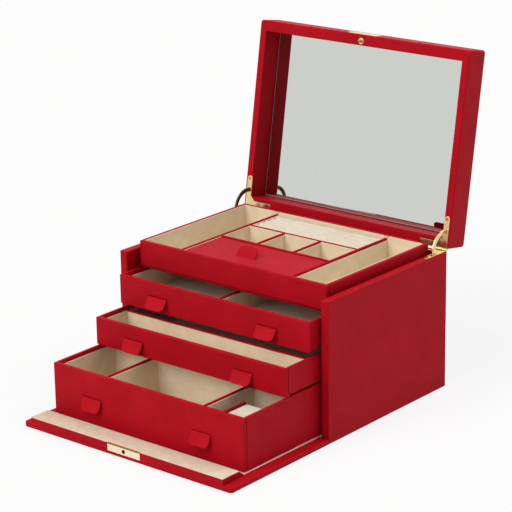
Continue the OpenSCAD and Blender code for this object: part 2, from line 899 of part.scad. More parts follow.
module keyhole_plate() {
    color(brass) in_case() difference() {
        keyhole_plate_blank(keyhole_plate_t, keyhole_plate_inset);
        keyhole();
    }
}

module lock_stud() {
    color(brass) in_case() lid_opened() translate([0, lid_front + stud_back, rim_z]) {
        translate([0, 0, -collar_proud]) cylinder(h = collar_t, d = collar_d);
        translate([0, 0, stud_d / 2 - stud_len]) cylinder(h = stud_len - stud_d / 2, d = stud_d);
        translate([0, 0, stud_d / 2 - stud_len]) sphere(d = stud_d);
    }
}

module lid_lock_plate() {
    color(brass) in_case() lid_opened()
        translate([0, lid_front, rim_z])
            rotate([90, 0, 0])
                linear_extrude(lid_plate_t) face_plate();
}

// --- Drawers ---
// Each drawer is drawn at home by its own box height and then pulled out

// Moves a drawer out of the case by a given length
module pulled(out) {
    in_case() translate([0, inner_setback - out, 0]) children();
}

// Front board from z up by h, with two slits for its tabs
module drawer_front(z, h) {
    difference() {
        span([-drawer_half, 0, z], [drawer_half, drawer_front_t, z + h]);
        for (x = [-tab_x, tab_x]) tab_slit(x, z + h / 2);
    }
}

// Slit for a tab's flat root, through the front board
module tab_slit(x, z) {
    w = tab_w + 2 * tab_slit_gap;
    t = tab_t + 2 * tab_slit_gap;
    span([x - w / 2, -cut, z - t / 2], [x + w / 2, drawer_front_t + cut, z + t / 2]);
}

// Side view of a tab: its flat root through the front board, and its leaf hanging at an angle
module tab_profile() {
    root = (tab_t - tab_t * sin(tab_angle)) / cos(tab_angle);
    fold_y = -tab_lip + tab_t * cos(tab_angle) - root * sin(tab_angle);
    end = [-tab_lip - tab_len * sin(tab_angle), tab_t / 2 - tab_len * cos(tab_angle)];
    polygon([
        [drawer_front_t, tab_t / 2],
        [-tab_lip, tab_t / 2],
        end,
        end + [tab_t * cos(tab_angle), -tab_t * sin(tab_angle)],
        [fold_y, -tab_t / 2],
        [drawer_front_t, -tab_t / 2],
    ]);
}

// Tab that leaves the front board at height z: its side view, cut to its outline seen from the front
module drawer_tab(x, z) {
    reach = tab_lip + tab_len;
    intersection() {
        translate([x - tab_w / 2, 0, z]) rotate([90, 0, 90]) linear_extrude(tab_w) tab_profile();
        translate([x, -reach, z + tab_t / 2])
            rotate([-90, 0, 0])
                linear_extrude(reach + drawer_front_t)
                    tab_outline(tab_w, tab_len * cos(tab_angle) + tab_t * sin(tab_angle));
    }
}

module drawer_tabs(z, h) {
    for (x = [-tab_x, tab_x]) drawer_tab(x, z + h / 2);
}

// Two side walls and the back wall, from z up by h
module drawer_walls(z, h) {
    both_sides()
        span([drawer_half - drawer_wall_t, drawer_front_t, z], [drawer_half, drawer_d, z + h]);
    span([-drawer_half + drawer_wall_t, drawer_d - drawer_wall_t, z],
        [drawer_half - drawer_wall_t, drawer_d, z + h]);
}

module drawer_floor(z) {
    span([-drawer_half + drawer_wall_t, drawer_front_t, z],
        [drawer_half - drawer_wall_t, drawer_d - drawer_wall_t, z + drawer_floor_t]);
}

// Divider from front to back between two depths, standing on the floor of a box at z
module lengthwise_divider(x, y0, y1, z, top) {
    span([x - divider_t / 2, y0, z + drawer_floor_t], [x + divider_t / 2, y1, top]);
}

// Divider from side to side, its front face at depth y
module cross_divider(y, z, top) {
    span([-drawer_half + drawer_wall_t, y, z + drawer_floor_t],
        [drawer_half - drawer_wall_t, y + divider_t, top]);
}

top_front_z = top_z - front_drop;
top_box_h = top_drawer_h - front_drop;
middle_front_z = middle_z - front_drop;
middle_box_h = middle_drawer_h - front_drop;

module top_drawer_front() {
    color(leather_red) pulled(top_drawer_out) drawer_front(top_front_z, top_drawer_h);
}

module top_drawer_walls() {
    color(leather_red) pulled(top_drawer_out) drawer_walls(top_z, top_box_h);
}

module top_drawer_floor() {
    color(suede) pulled(top_drawer_out) drawer_floor(top_z);
}

module top_drawer_divider() {
    color(leather_dark) pulled(top_drawer_out)
        lengthwise_divider(0, drawer_front_t, drawer_d - drawer_wall_t, top_z,
            top_z + top_box_h - top_divider_drop);
}

module top_drawer_tabs() {
    color(leather_red) pulled(top_drawer_out) drawer_tabs(top_front_z, top_drawer_h);
}

module middle_drawer_front() {
    color(leather_red) pulled(middle_drawer_out) drawer_front(middle_front_z, middle_drawer_h);
}

module middle_drawer_walls() {
    color(leather_red) pulled(middle_drawer_out) drawer_walls(middle_z, middle_box_h);
}

module middle_drawer_floor() {
    color(suede) pulled(middle_drawer_out) drawer_floor(middle_z);
}

module middle_drawer_divider() {
    color(leather_dark) pulled(middle_drawer_out)
        cross_divider(middle_divider_y, middle_z, middle_z + middle_box_h - middle_divider_drop);
}

module middle_drawer_tabs() {
    color(leather_red) pulled(middle_drawer_out) drawer_tabs(middle_front_z, middle_drawer_h);
}

module bottom_drawer_front() {
    color(leather_red) pulled(bottom_drawer_out) drawer_front(bottom_z, bottom_drawer_h);
}

module bottom_drawer_walls() {
    color(leather_red) pulled(bottom_drawer_out) drawer_walls(bottom_z, bottom_drawer_h);
}

module bottom_drawer_floor() {
    color(suede) pulled(bottom_drawer_out) drawer_floor(bottom_z);
}

module bottom_drawer_dividers() {
    top = bottom_z + bottom_drawer_h - bottom_divider_drop;
    color(leather_dark) pulled(bottom_drawer_out) {
        cross_divider(bottom_divider_y, bottom_z, top);
        for (x = [-bottom_divider_x, bottom_divider_x])
            lengthwise_divider(x, drawer_front_t, bottom_divider_y, bottom_z, top);
    }
}

module bottom_drawer_tabs() {
    color(leather_red) pulled(bottom_drawer_out) drawer_tabs(bottom_z, bottom_drawer_h);
}

module watch_pillow() {
    pillow_right = drawer_half - drawer_wall_t - pillow_gap;
    pillow_front = drawer_front_t + pillow_gap;
    pillow_z = bottom_z + drawer_floor_t;
    color(suede) pulled(bottom_drawer_out)
        span([pillow_right - pillow_w, pillow_front, pillow_z],
            [pillow_right, pillow_front + pillow_d, pillow_z + pillow_h]);
}

side_panel_left();
side_panel_right();
back_panel();
base_panel();
inner_cheeks();
floor_lining();
drawer_shelves();
fall_front_hinge_strip();
tray_front();
tray_back();
tray_sides();
tray_floor();
tray_column_dividers();
tray_cross_dividers();
tray_cell_dividers();
ring_rolls();
cover_ledge();
cover_hinge_strip();
tray_cover();
tray_cover_tab();
case_hinge_leaf_left();
case_hinge_leaf_right();
hinge_pins();
case_leaf_screws();
lid_wall_front();
lid_wall_back();
lid_wall_left();
lid_wall_right();
lid_top();
mirror_board();
lid_mirror();
lid_hinge_leaf_left();
lid_hinge_leaf_right();
lid_leaf_screws();
lock_stud();
lid_lock_plate();
lid_stay_left();
lid_stay_right();
fall_front();
fall_front_lining();
lock_block();
strike_plate();
lock_case();
keyhole_plate();
top_drawer_front();
top_drawer_walls();
top_drawer_floor();
top_drawer_divider();
top_drawer_tabs();
middle_drawer_front();
middle_drawer_walls();
middle_drawer_floor();
middle_drawer_divider();
middle_drawer_tabs();
bottom_drawer_front();
bottom_drawer_walls();
bottom_drawer_floor();
bottom_drawer_dividers();
bottom_drawer_tabs();
watch_pillow();
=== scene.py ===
"""Dressed model of a leather jewellery case.

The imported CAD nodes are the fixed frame. Each sub-assembly below reads its places from them, builds its
pieces as meshes and dresses them. Lengths are millimetres in the case's frame (X along the front, Y to the
back, Z up) until a piece is made, which turns them into metres.
"""

import json
import logging
import math
from dataclasses import dataclass, field
from enum import Enum
from functools import cache
from typing import Callable, Iterable, Sequence

import bmesh
import bpy
from mathutils import Matrix, Vector, noise


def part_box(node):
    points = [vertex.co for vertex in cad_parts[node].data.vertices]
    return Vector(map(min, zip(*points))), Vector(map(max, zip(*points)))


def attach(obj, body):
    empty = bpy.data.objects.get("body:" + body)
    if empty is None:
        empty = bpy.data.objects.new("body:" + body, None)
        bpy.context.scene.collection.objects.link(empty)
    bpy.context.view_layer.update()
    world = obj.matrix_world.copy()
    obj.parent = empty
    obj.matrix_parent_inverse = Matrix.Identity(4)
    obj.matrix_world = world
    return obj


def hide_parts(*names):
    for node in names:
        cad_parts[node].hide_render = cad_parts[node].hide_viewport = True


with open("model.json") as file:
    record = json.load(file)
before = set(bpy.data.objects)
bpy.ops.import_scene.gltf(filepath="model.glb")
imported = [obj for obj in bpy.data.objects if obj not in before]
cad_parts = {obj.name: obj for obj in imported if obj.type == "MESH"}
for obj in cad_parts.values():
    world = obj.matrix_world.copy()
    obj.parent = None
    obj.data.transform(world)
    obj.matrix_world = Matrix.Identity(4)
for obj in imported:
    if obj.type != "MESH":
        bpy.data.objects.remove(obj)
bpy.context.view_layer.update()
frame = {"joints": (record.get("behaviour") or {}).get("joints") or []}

# Fixes the waves of the hand-laid leather, so that every run gives the same ones.
noise.seed_set(7)

LOG = logging.getLogger("jewellery_case")
MM = 0.001
SHARP_EDGE = math.radians(38.0)
# Sockets of a Mix node that mixes colours: its two colours and its result.
MIX_A, MIX_B, MIX_OUT = 6, 7, 2
# White, in linear light with its alpha.
WHITE = (1.0, 1.0, 1.0, 1.0)
# Longest grid step and the arc spans of a board whose leather is wavy by hand.
BOARD_STEP, BOARD_ARCS = 16.0, 4
# Edge radii of box and rod cutters, so small that the cut looks sharp.
CRISP, BORE_EDGE = 0.05, 0.01
# Points nearer than this, in metres, are one point.
WELD = 1e-6
# Radius that a turned solid keeps at its ends, where a true point would fold its faces.
AXIS = 0.02

Point2 = tuple[float, float]
Tree = bpy.types.NodeTree
Socket = bpy.types.NodeSocket
Thing = bpy.types.Object


class Slot(Enum):
    """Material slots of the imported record."""

    RED = "red_leather"
    EDGE = "red_leather_edge"
    SUEDE = "cream_suede"
    BOARD = "backing_board"
    GLASS = "mirror_glass"
    BRASS = "brass"


class Body(Enum):
    """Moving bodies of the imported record."""

    CASE = "case"
    LID = "lid"
    STAY_LEFT = "stay_left"
    STAY_RIGHT = "stay_right"
    COVER = "tray_cover"
    FALL = "fall_front"
    TOP = "top_drawer"
    MIDDLE = "middle_drawer"
    BOTTOM = "bottom_drawer"


# ==== Finishes ====


def linear(hex_colour: str) -> tuple[float, float, float, float]:
    """Turns an sRGB hex colour into linear RGBA.

    Args:
        hex_colour: Six hex digits, such as "b01c2a".

    Returns:
        The colour in linear light, with alpha 1.
    """
    # The sRGB curve: its straight part near black, then its power.
    knee, slope, offset, power = 0.04045, 12.92, 0.055, 2.4
    channels = [channel / 255.0 for channel in bytes.fromhex(hex_colour)]
    red, green, blue = [c / slope if c <= knee else ((c + offset) / (1 + offset)) ** power for c in channels]
    return red, green, blue, 1.0


def add_node(tree: Tree, kind: str, inputs: dict | None = None, **settings: object) -> bpy.types.Node:
    """Adds one shader node with its settings, socket values and links.

    Args:
        tree: Node tree to add to.
        kind: Node type, without the "ShaderNode" that each one begins with.
        inputs: Socket name or index to a value, or to an output socket that is linked to it.
        **settings: Attributes of the node.

    Returns:
        The new node.
    """
    node = tree.nodes.new(f"ShaderNode{kind}")
    for key, value in settings.items():
        setattr(node, key, value)
    for name, value in (inputs or {}).items():
        if isinstance(value, Socket):
            tree.links.new(value, node.inputs[name])
        else:
            node.inputs[name].default_value = value
    return node


def per_mm(size: float) -> float:
    """Texture scale, in turns per metre, of a pattern that repeats every size millimetres."""
    return 1.0 / (size * MM)


@dataclass(frozen=True)
class Finish:
    """Surface of one real material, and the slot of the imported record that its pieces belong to."""

    name: str
    slot: Slot | None = field(default=None, kw_only=True)

    def shader(self, tree: Tree, place: Socket) -> bpy.types.Node:
        """Adds the finish's own nodes.

        Args:
            tree: Node tree to add to.
            place: Object coordinates.

        Returns:
            The shader node.
        """
        raise NotImplementedError

    @cache
    def material(self) -> bpy.types.Material:
        """Builds the node material, once for each finish.

        Returns:
            The material.
        """
        material = bpy.data.materials.new(self.name)
        material.use_nodes = True
        tree = material.node_tree
        tree.nodes.clear()
        surface = self.shader(tree, add_node(tree, "TexCoord").outputs["Object"])
        add_node(tree, "OutputMaterial", {"Surface": surface.outputs[0]})
        return material


@dataclass(frozen=True)
class Leather(Finish):
    """Dyed and finished calf leather, wrapped over board and pressed smooth.

    The pressing leaves a satin skin: a soft wide highlight with a fine pebble under it, and a hide's slow
    changes of tone.
    """

    colour: str
    deep: str
    tone_mm: float = 38.0
    # Real calf grain is about 0.4 mm; it is drawn coarser so that a picture of the whole case shows it.
    grain_mm: float = 1.15
    grain_depth: float = 0.05
    roughness: float = 0.52
    roughness_spread: float = 0.07
    specular: float = 0.07
    slot: Slot | None = field(default=Slot.RED, kw_only=True)

    def shader(self, tree: Tree, place: Socket) -> bpy.types.Node:
        """Adds the leather's nodes.

        Args:
            tree: Node tree to add to.
            place: Object coordinates.

        Returns:
            The shader node.
        """
        tone = add_node(
            tree, "TexNoise",
            {"Vector": place, "Scale": per_mm(self.tone_mm), "Detail": 4.0, "Roughness": 0.6},
        )
        shade = add_node(
            tree, "MapRange",
            {"Value": tone.outputs["Fac"], "From Min": 0.3, "From Max": 0.72, "To Min": 0.0, "To Max": 1.0},
        )
        pebble = add_node(
            tree, "TexVoronoi",
            {"Vector": place, "Scale": per_mm(self.grain_mm), "Smoothness": 0.6, "Randomness": 1.0},
            feature="SMOOTH_F1",
        )
        fleck = add_node(
            tree, "TexNoise", {"Vector": place, "Scale": per_mm(self.grain_mm * 2.2), "Detail": 3.0}
        )
        grain = add_node(
            tree, "Math", {0: pebble.outputs["Distance"], 1: fleck.outputs["Fac"]}, operation="MULTIPLY"
        )
        base = add_node(
            tree, "Mix",
            {"Factor": shade.outputs["Result"], MIX_A: linear(self.deep), MIX_B: linear(self.colour)},
            data_type="RGBA",
        )
        pores = add_node(
            tree, "MapRange",
            {
                "Value": grain.outputs["Value"], "From Min": 0.05, "From Max": 0.5, "To Min": 1.0,
                "To Max": 0.9,
            },
        )
        skin = add_node(
            tree, "Mix",
            {"Factor": 1.0, MIX_A: base.outputs[MIX_OUT], MIX_B: pores.outputs["Result"]},
            data_type="RGBA", blend_type="MULTIPLY",
        )
        rough = add_node(
            tree, "MapRange",
            {
                "Value": fleck.outputs["Fac"], "From Min": 0.3, "From Max": 0.7,
                "To Min": self.roughness - self.roughness_spread,
                "To Max": self.roughness + self.roughness_spread,
            },
        )
        bump = add_node(
            tree, "Bump",
            {"Height": grain.outputs["Value"], "Strength": 0.35, "Distance": self.grain_depth * MM},
            invert=True,
        )
        return add_node(
            tree, "BsdfPrincipled",
            {
                "Base Color": skin.outputs[MIX_OUT], "Roughness": rough.outputs["Result"],
                "Normal": bump.outputs["Normal"], "Specular IOR Level": self.specular,
            },
        )


@dataclass(frozen=True)
class Suede(Finish):
    """Brushed suede: a short raised nap that scatters light, with patches where the nap lies over."""

    colour: str
    shade: str
    tint: str
    tint_amount: float = 0.25
    patch_mm: float = 16.0
    # Suede fibres are far under 0.1 mm; the nap is drawn at about a millimetre so that it shows.
    nap_mm: float = 0.9
    nap_depth: float = 0.12
    sheen: float = 0.25
    slot: Slot | None = field(default=Slot.SUEDE, kw_only=True)

    def shader(self, tree: Tree, place: Socket) -> bpy.types.Node:
        """Adds the suede's nodes.

        Args:
            tree: Node tree to add to.
            place: Object coordinates.

        Returns:
            The shader node.
        """
        patch = add_node(
            tree, "TexNoise",
            {"Vector": place, "Scale": per_mm(self.patch_mm), "Detail": 5.0, "Roughness": 0.65},
        )
        nap = add_node(
            tree, "TexNoise",
            {"Vector": place, "Scale": per_mm(self.nap_mm), "Detail": 2.0, "Roughness": 0.7},
        )
        rub = add_node(
            tree, "MapRange",
            {
                "Value": patch.outputs["Fac"], "From Min": 0.33, "From Max": 0.66, "To Min": 0.0,
                "To Max": 1.0,
            },
        )
        cloth = add_node(
            tree, "Mix",
            {"Factor": rub.outputs["Result"], MIX_A: linear(self.shade), MIX_B: linear(self.colour)},
            data_type="RGBA",
        )
        fleck = add_node(
            tree, "MapRange",
            {
                "Value": nap.outputs["Fac"], "From Min": 0.52, "From Max": 0.7, "To Min": 0.0,
                "To Max": self.tint_amount,
            },
        )
        tinted = add_node(
            tree, "Mix",
            {"Factor": fleck.outputs["Result"], MIX_A: cloth.outputs[MIX_OUT], MIX_B: linear(self.tint)},
            data_type="RGBA",
        )
        bump = add_node(
            tree, "Bump",
            {"Height": nap.outputs["Fac"], "Strength": 0.5, "Distance": self.nap_depth * MM},
        )
        return add_node(
            tree, "BsdfPrincipled",
            {
                "Base Color": tinted.outputs[MIX_OUT], "Roughness": 0.95, "Normal": bump.outputs["Normal"],
                "Specular IOR Level": 0.15, "Sheen Weight": self.sheen, "Sheen Roughness": 0.5,
                "Sheen Tint": linear(self.colour),
            },
        )


@dataclass(frozen=True)
class Metal(Finish):
    """Polished metal: a clear reflection, softened a little by buffing marks."""

    colour: str
    worn: str
    roughness: float
    roughness_spread: float
    # Buffing marks are finer than this; drawn at half a millimetre they still read as a soft gloss.
    mark_mm: float = 0.5
    cloud_mm: float = 9.0
    bump_depth: float = 0.004
    slot: Slot | None = field(default=Slot.BRASS, kw_only=True)

    def shader(self, tree: Tree, place: Socket) -> bpy.types.Node:
        """Adds the metal's nodes.

        Args:
            tree: Node tree to add to.
            place: Object coordinates.

        Returns:
            The shader node.
        """
        marks = add_node(tree, "TexNoise", {"Vector": place, "Scale": per_mm(self.mark_mm), "Detail": 2.0})
        cloud = add_node(tree, "TexNoise", {"Vector": place, "Scale": per_mm(self.cloud_mm), "Detail": 3.0})
        base = add_node(
            tree, "Mix",
            {"Factor": cloud.outputs["Fac"], MIX_A: linear(self.worn), MIX_B: linear(self.colour)},
            data_type="RGBA",
        )
        rough = add_node(
            tree, "MapRange",
            {
                "Value": cloud.outputs["Fac"], "From Min": 0.3, "From Max": 0.7,
                "To Min": self.roughness, "To Max": self.roughness + self.roughness_spread,
            },
        )
        bump = add_node(
            tree, "Bump",
            {"Height": marks.outputs["Fac"], "Strength": 0.2, "Distance": self.bump_depth * MM},
        )
        return add_node(
            tree, "BsdfPrincipled",
            {
                "Base Color": base.outputs[MIX_OUT], "Metallic": 1.0,
                "Roughness": rough.outputs["Result"], "Normal": bump.outputs["Normal"],
            },
        )


# Red dyed calf, pressed smooth: the outer skin of every panel, saturated with a satin sheen.
RED_LEATHER = Leather("red_calf_leather_pressed", "b20a1c", "a40717")
# The same hide pared thin and turned over edges: a touch brighter where it is stretched.
TURNED_LEATHER = Leather(
    "red_calf_leather_turned_edge", "b3091b", "a20616", grain_depth=0.03, roughness=0.55, specular=0.05,
    slot=Slot.EDGE,
)
# The same hide folded double for the pull tabs, a little glossier; its lighter colour is painted light,
# standing for the extra light that the tabs' leaning faces catch.
PAINTED_LIGHT_TAB_LEATHER = Leather(
    "red_calf_leather_folded_tab", "bb0e1f", "ad0818", grain_depth=0.04, roughness=0.5, specular=0.06
)
# The tray cover's hide, left softer: an open grain that scatters the light; its paler colour is painted
# light, for the extra light and sheen that the cover's top catches seen from a low angle.
PAINTED_LIGHT_COVER_LEATHER = Leather(
    "red_calf_leather_soft_grain", "b5192a", "a81223",
    grain_mm=1.5, grain_depth=0.09, roughness=0.66, specular=0.12,
)
# Red leather paper that lines the hidden boards: flatter and darker. On the watch pillow's band its darkness
# is painted shade, for the shadow beside the pillow.
LINING_LEATHER = Leather(
    "red_leather_paper_lining", "8f0c18", "7c0813", roughness=0.58, grain_depth=0.02, slot=Slot.EDGE
)
# Cream brushed suede of the cells: matt, warm, with rubbed patches.
CREAM_SUEDE = Suede("cream_suede_brushed", "e6d7bd", "dccaad", "cfb999")
# The same suede on the fall front, with a faint pink tint in its flecks.
FALL_SUEDE = Suede("cream_suede_rubbed_pink", "dccbb4", "cfb9a2", "cc958b", tint_amount=0.35, patch_mm=9.0)
# Pale velvet of the ring rolls and the pillow: lighter, with a soft sheen along the crowns.
ROLL_VELVET = Suede(
    "ivory_velvet_pile", "dfd4c1", "d5c9b3", "c6b89f", tint_amount=0.15, patch_mm=22.0, sheen=0.35
)
# The pillow's velvet, brushed smooth: the same cloth as the ring rolls, drawn darker and cooler.
PILLOW_VELVET = Suede(
    "ivory_velvet_brushed", "cfc6b6", "c6bbaa", "b8a998", tint_amount=0.15, patch_mm=22.0, sheen=0.3
)
# Polished lacquered brass: pale gold, clear reflections.
BRASS = Metal("brass_polished_lacquered", "ead6a8", "d3b678", 0.16, 0.12)
# Brushed and lacquered strike plate: the same alloy, drawn paler as a painted reflection of the white
# surroundings that the plate mirrors.
PAINTED_REFLECTION_STRIKE_BRASS = Metal("brass_brushed_lacquered", "f8ead2", "efdcba", 0.3, 0.1)
# Plain turned brass of the screws, a redder alloy with a softer shine.
SCREW_BRASS = Metal("brass_turned", "d79a55", "b9783c", 0.28, 0.1)
# Brass darkened to brown as painted shade: the left stay hangs in the lid's shade and reflects dark
# surroundings, so it is drawn brown with a gold glint.
SHADE_PAINTED_BRASS = Metal("brass_tarnished", "7a5628", "3a2812", 0.24, 0.14)
# Orange-brown brass of the strike plate's bent lip and of the stud's pin, darker than the polished brass.
ORANGE_BROWN_BRASS = Metal("brass_aged", "b27d47", "8a5c30", 0.3, 0.12)
# Unpolished brass inside the lock, dull and dark.
DARK_BRASS = Metal("brass_cast_dull", "4a3b22", "35291a", 0.5, 0.1)
# Silvered float glass: a near perfect mirror, its colour dimmed to a light grey that is a painted reflection
# of grey surroundings.
MIRROR = Metal(
    "silvered_float_glass", "cdd0ca", "cbcec8", 0.0, 0.012, cloud_mm=120.0, bump_depth=0.0, slot=Slot.GLASS
)


@dataclass(frozen=True)
class Greyboard(Finish):
    """Pressed grey bookbinder's board: matt, with short paper fibres."""

    name: str = "greyboard_pressed"
    colour: str = "8c867c"
    fibre: str = "6f6a61"
    fibre_mm: float = 2.5
    fibre_depth: float = 0.05
    slot: Slot | None = field(default=Slot.BOARD, kw_only=True)

    def shader(self, tree: Tree, place: Socket) -> bpy.types.Node:
        """Adds the board's nodes.

        Args:
            tree: Node tree to add to.
            place: Object coordinates.

        Returns:
            The shader node.
        """
        fibres = add_node(
            tree, "TexNoise",
            {"Vector": place, "Scale": per_mm(self.fibre_mm), "Detail": 6.0, "Distortion": 1.2},
        )
        base = add_node(
            tree, "Mix",
            {"Factor": fibres.outputs["Fac"], MIX_A: linear(self.fibre), MIX_B: linear(self.colour)},
            data_type="RGBA",
        )
        bump = add_node(
            tree, "Bump",
            {"Height": fibres.outputs["Fac"], "Strength": 0.4, "Distance": self.fibre_depth * MM},
        )
        return add_node(
            tree, "BsdfPrincipled",
            {"Base Color": base.outputs[MIX_OUT], "Roughness": 0.9, "Normal": bump.outputs["Normal"]},
        )


@dataclass(frozen=True)
class GroundGlass(Finish):
    """Ground edge of float glass: a frosted grey-green that scatters what light reaches it."""

    name: str = "float_glass_ground_bevel"
    colour: str = "d6d7d2"
    veil: str = "b9bcb5"
    # Real grinding marks are under a tenth of a millimetre; at one millimetre they still read as frost.
    mark_mm: float = 1.0
    mark_depth: float = 0.01
    slot: Slot | None = field(default=Slot.GLASS, kw_only=True)

    def shader(self, tree: Tree, place: Socket) -> bpy.types.Node:
        """Adds the ground glass's nodes.

        Args:
            tree: Node tree to add to.
            place: Object coordinates.

        Returns:
            The shader node.
        """
        marks = add_node(tree, "TexNoise", {"Vector": place, "Scale": per_mm(self.mark_mm), "Detail": 3.0})
        base = add_node(
            tree, "Mix",
            {"Factor": marks.outputs["Fac"], MIX_A: linear(self.veil), MIX_B: linear(self.colour)},
            data_type="RGBA",
        )
        bump = add_node(
            tree, "Bump", {"Height": marks.outputs["Fac"], "Strength": 0.2, "Distance": self.mark_depth * MM}
        )
        return add_node(
            tree, "BsdfPrincipled",
            {"Base Color": base.outputs[MIX_OUT], "Roughness": 0.35, "Normal": bump.outputs["Normal"]},
        )


BOARD = Greyboard()
MIRROR_BEVEL = GroundGlass()

# ==== Shapes ====


@dataclass
class Box:
    """Axis-aligned box in millimetres."""

    low: Vector
    high: Vector

    @classmethod
    def of(cls, node: str) -> "Box":
        """The box of a CAD node at rest."""
        low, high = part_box(node)
        return cls(low / MM, high / MM)

    @classmethod
    def spanning(cls, x0: float, y0: float, z0: float, x1: float, y1: float, z1: float) -> "Box":
        """The box between two corners given as six numbers."""
        return cls(Vector((x0, y0, z0)), Vector((x1, y1, z1)))

    def with_face(self, axis: int, low: float | None = None, high: float | None = None) -> "Box":
        """A copy with its faces along one axis moved.

        Args:
            axis: Axis number.
            low: New place of the low face, if it moves.
            high: New place of the high face, if it moves.

        Returns:
            The new box.
        """
        box = Box(self.low.copy(), self.high.copy())
        if low is not None:
            box.low[axis] = low
        if high is not None:
            box.high[axis] = high
        return box

    @property
    def centre(self) -> Vector:
        """The middle of the box."""
        return (self.low + self.high) / 2


@dataclass
class Shape:
    """Points in millimetres and the faces between them."""

    points: list[Vector] = field(default_factory=list)
    faces: list[tuple[int, ...]] = field(default_factory=list)

    def add(self, other: "Shape") -> "Shape":
        """Adds another shape to this one.

        Args:
            other: Shape to add.

        Returns:
            This shape.
        """
        start = len(self.points)
        self.points += other.points
        self.faces += [tuple(i + start for i in f) for f in other.faces]
        return self

    def moved(self, matrix: Matrix) -> "Shape":
        """A copy moved by a matrix.

        Args:
            matrix: Where it goes; one that mirrors turns the faces over too.

        Returns:
            The copy.
        """
        flip = matrix.to_3x3().determinant() < 0
        faces = [tuple(reversed(f)) for f in self.faces] if flip else list(self.faces)
        return Shape([matrix @ p for p in self.points], faces)

    def mapped(self, change: Callable[[Vector], Vector]) -> "Shape":
        """A copy with every point put through a function."""
        return Shape([change(p) for p in self.points], list(self.faces))

    def hand_made(self, amount: float = 0.12, size: float = 55.0) -> "Shape":
        """A copy with the slight waviness of leather glued over board by hand.

        Args:
            amount: Largest shift in millimetres.
            size: Length of the waves in millimetres.

        Returns:
            The wavy copy.
        """
        return self.mapped(lambda p: p + noise.noise_vector(p / size) * amount)


MIRROR_X = Matrix.Scale(-1.0, 4, Vector((1.0, 0.0, 0.0)))


def both_sides(shape: Shape) -> Shape:
    """The shape and its mirror image across the case's middle."""
    return Shape(list(shape.points), list(shape.faces)).add(shape.moved(MIRROR_X))


def ticks(low: float, high: float, radius: float, step: float, arcs: int) -> list[float]:
    """Grid places along one side of a rounded box, close together over the rounded edges.

    Args:
        low: Start of the side.
        high: End of the side.
        radius: Edge radius.
        step: Longest gap between places over the flat part.
        arcs: Number of spans across a quarter of the rounding.

    Returns:
        The places, in order.
    """
    edge = [radius * (1.0 - math.tan(math.pi / 4 * (1.0 - k / arcs))) for k in range(arcs + 1)]
    inner = high - low - 2 * radius
    spans = max(1, math.ceil(inner / step))
    middle = [low + radius + inner * k / spans for k in range(1, spans)]
    return [low + e for e in edge] + middle + [high - e for e in reversed(edge)]


def soft_box(box: Box, radius: float = 1.2, step: float = 20.0, arcs: int = 3) -> Shape:
    """Box with every edge and corner rounded.

    Args:
        box: Outer box.
        radius: Edge radius, kept under half of the thinnest side.
        step: Longest gap between grid lines over the flat parts.
        arcs: Spans across half of each rounding.

    Returns:
        The closed shape.
    """
    size = box.high - box.low
    just_under_half = 0.49
    radius = min(radius, just_under_half * min(size))
    lines = [ticks(box.low[a], box.high[a], radius, step, arcs) for a in range(3)]
    last = [len(line) - 1 for line in lines]
    index: dict[tuple[int, int, int], int] = {}
    shape = Shape()

    def corner(key: tuple[int, int, int]) -> int:
        """Number of the point at a grid place, made the first time it is asked for.

        Args:
            key: Grid place along each axis.

        Returns:
            The point's number.
        """
        if key not in index:
            flat = Vector([lines[a][key[a]] for a in range(3)])
            core = Vector([min(max(flat[a], box.low[a] + radius), box.high[a] - radius) for a in range(3)])
            index[key] = len(shape.points)
            shape.points.append(core + (flat - core).normalized() * radius)
        return index[key]

    for axis in range(3):
        u, v = (axis + 1) % 3, (axis + 2) % 3
        for end in (0, last[axis]):
            for i in range(last[u]):
                for j in range(last[v]):
                    quad = []
                    for a, b in ((0, 0), (1, 0), (1, 1), (0, 1)):
                        key = [0, 0, 0]
                        key[axis], key[u], key[v] = end, i + a, j + b
                        quad.append(corner(tuple(key)))
                    shape.faces.append(tuple(quad if end else reversed(quad)))
    return shape


def loft(rings: Sequence[Sequence[Vector]], caps: bool = True) -> Shape:
    """Skin over a row of rings that have the same number of points.

    Args:
        rings: Rings of points, in order.
        caps: Whether the first and last rings are filled.

    Returns:
        The shape; its faces look outwards where rings turn counterclockwise as seen from the far end.
    """
    count = len(rings[0])
    shape = Shape([p.copy() for ring in rings for p in ring])
    for k in range(len(rings) - 1):
        here, there = k * count, (k + 1) * count
        for i in range(count):
            j = (i + 1) % count
            shape.faces.append((here + i, here + j, there + j, there + i))
    if caps:
        shape.faces.append(tuple(reversed(range(count))))
        top = (len(rings) - 1) * count
        shape.faces.append(tuple(range(top, top + count)))
    return shape


def arc(centre: Point2, radius: float, start: float, end: float, spans: int) -> list[Point2]:
    """Points along an arc, both ends included, with angles in degrees."""
    angles = [math.radians(start + (end - start) * k / spans) for k in range(spans + 1)]
    return [(centre[0] + radius * math.cos(a), centre[1] + radius * math.sin(a)) for a in angles]


def rounded_rectangle(
    x0: float, y0: float, x1: float, y1: float, radii: Sequence[float], spans: int = 5
) -> list[Point2]:
    """Counterclockwise outline of a rectangle with rounded corners.

    Args:
        x0: Left side.
        y0: Near side.
        x1: Right side.
        y1: Far side.
        radii: Radius at the near-left, near-right, far-right and far-left corner.
        spans: Spans of each corner.

    Returns:
        The outline's points.
    """
    near_left, near_right, far_right, far_left = radii
    return (
        arc((x0 + near_left, y0 + near_left), near_left, 180, 270, spans)
        + arc((x1 - near_right, y0 + near_right), near_right, 270, 360, spans)
        + arc((x1 - far_right, y1 - far_right), far_right, 0, 90, spans)
        + arc((x0 + far_left, y1 - far_left), far_left, 90, 180, spans)
    )


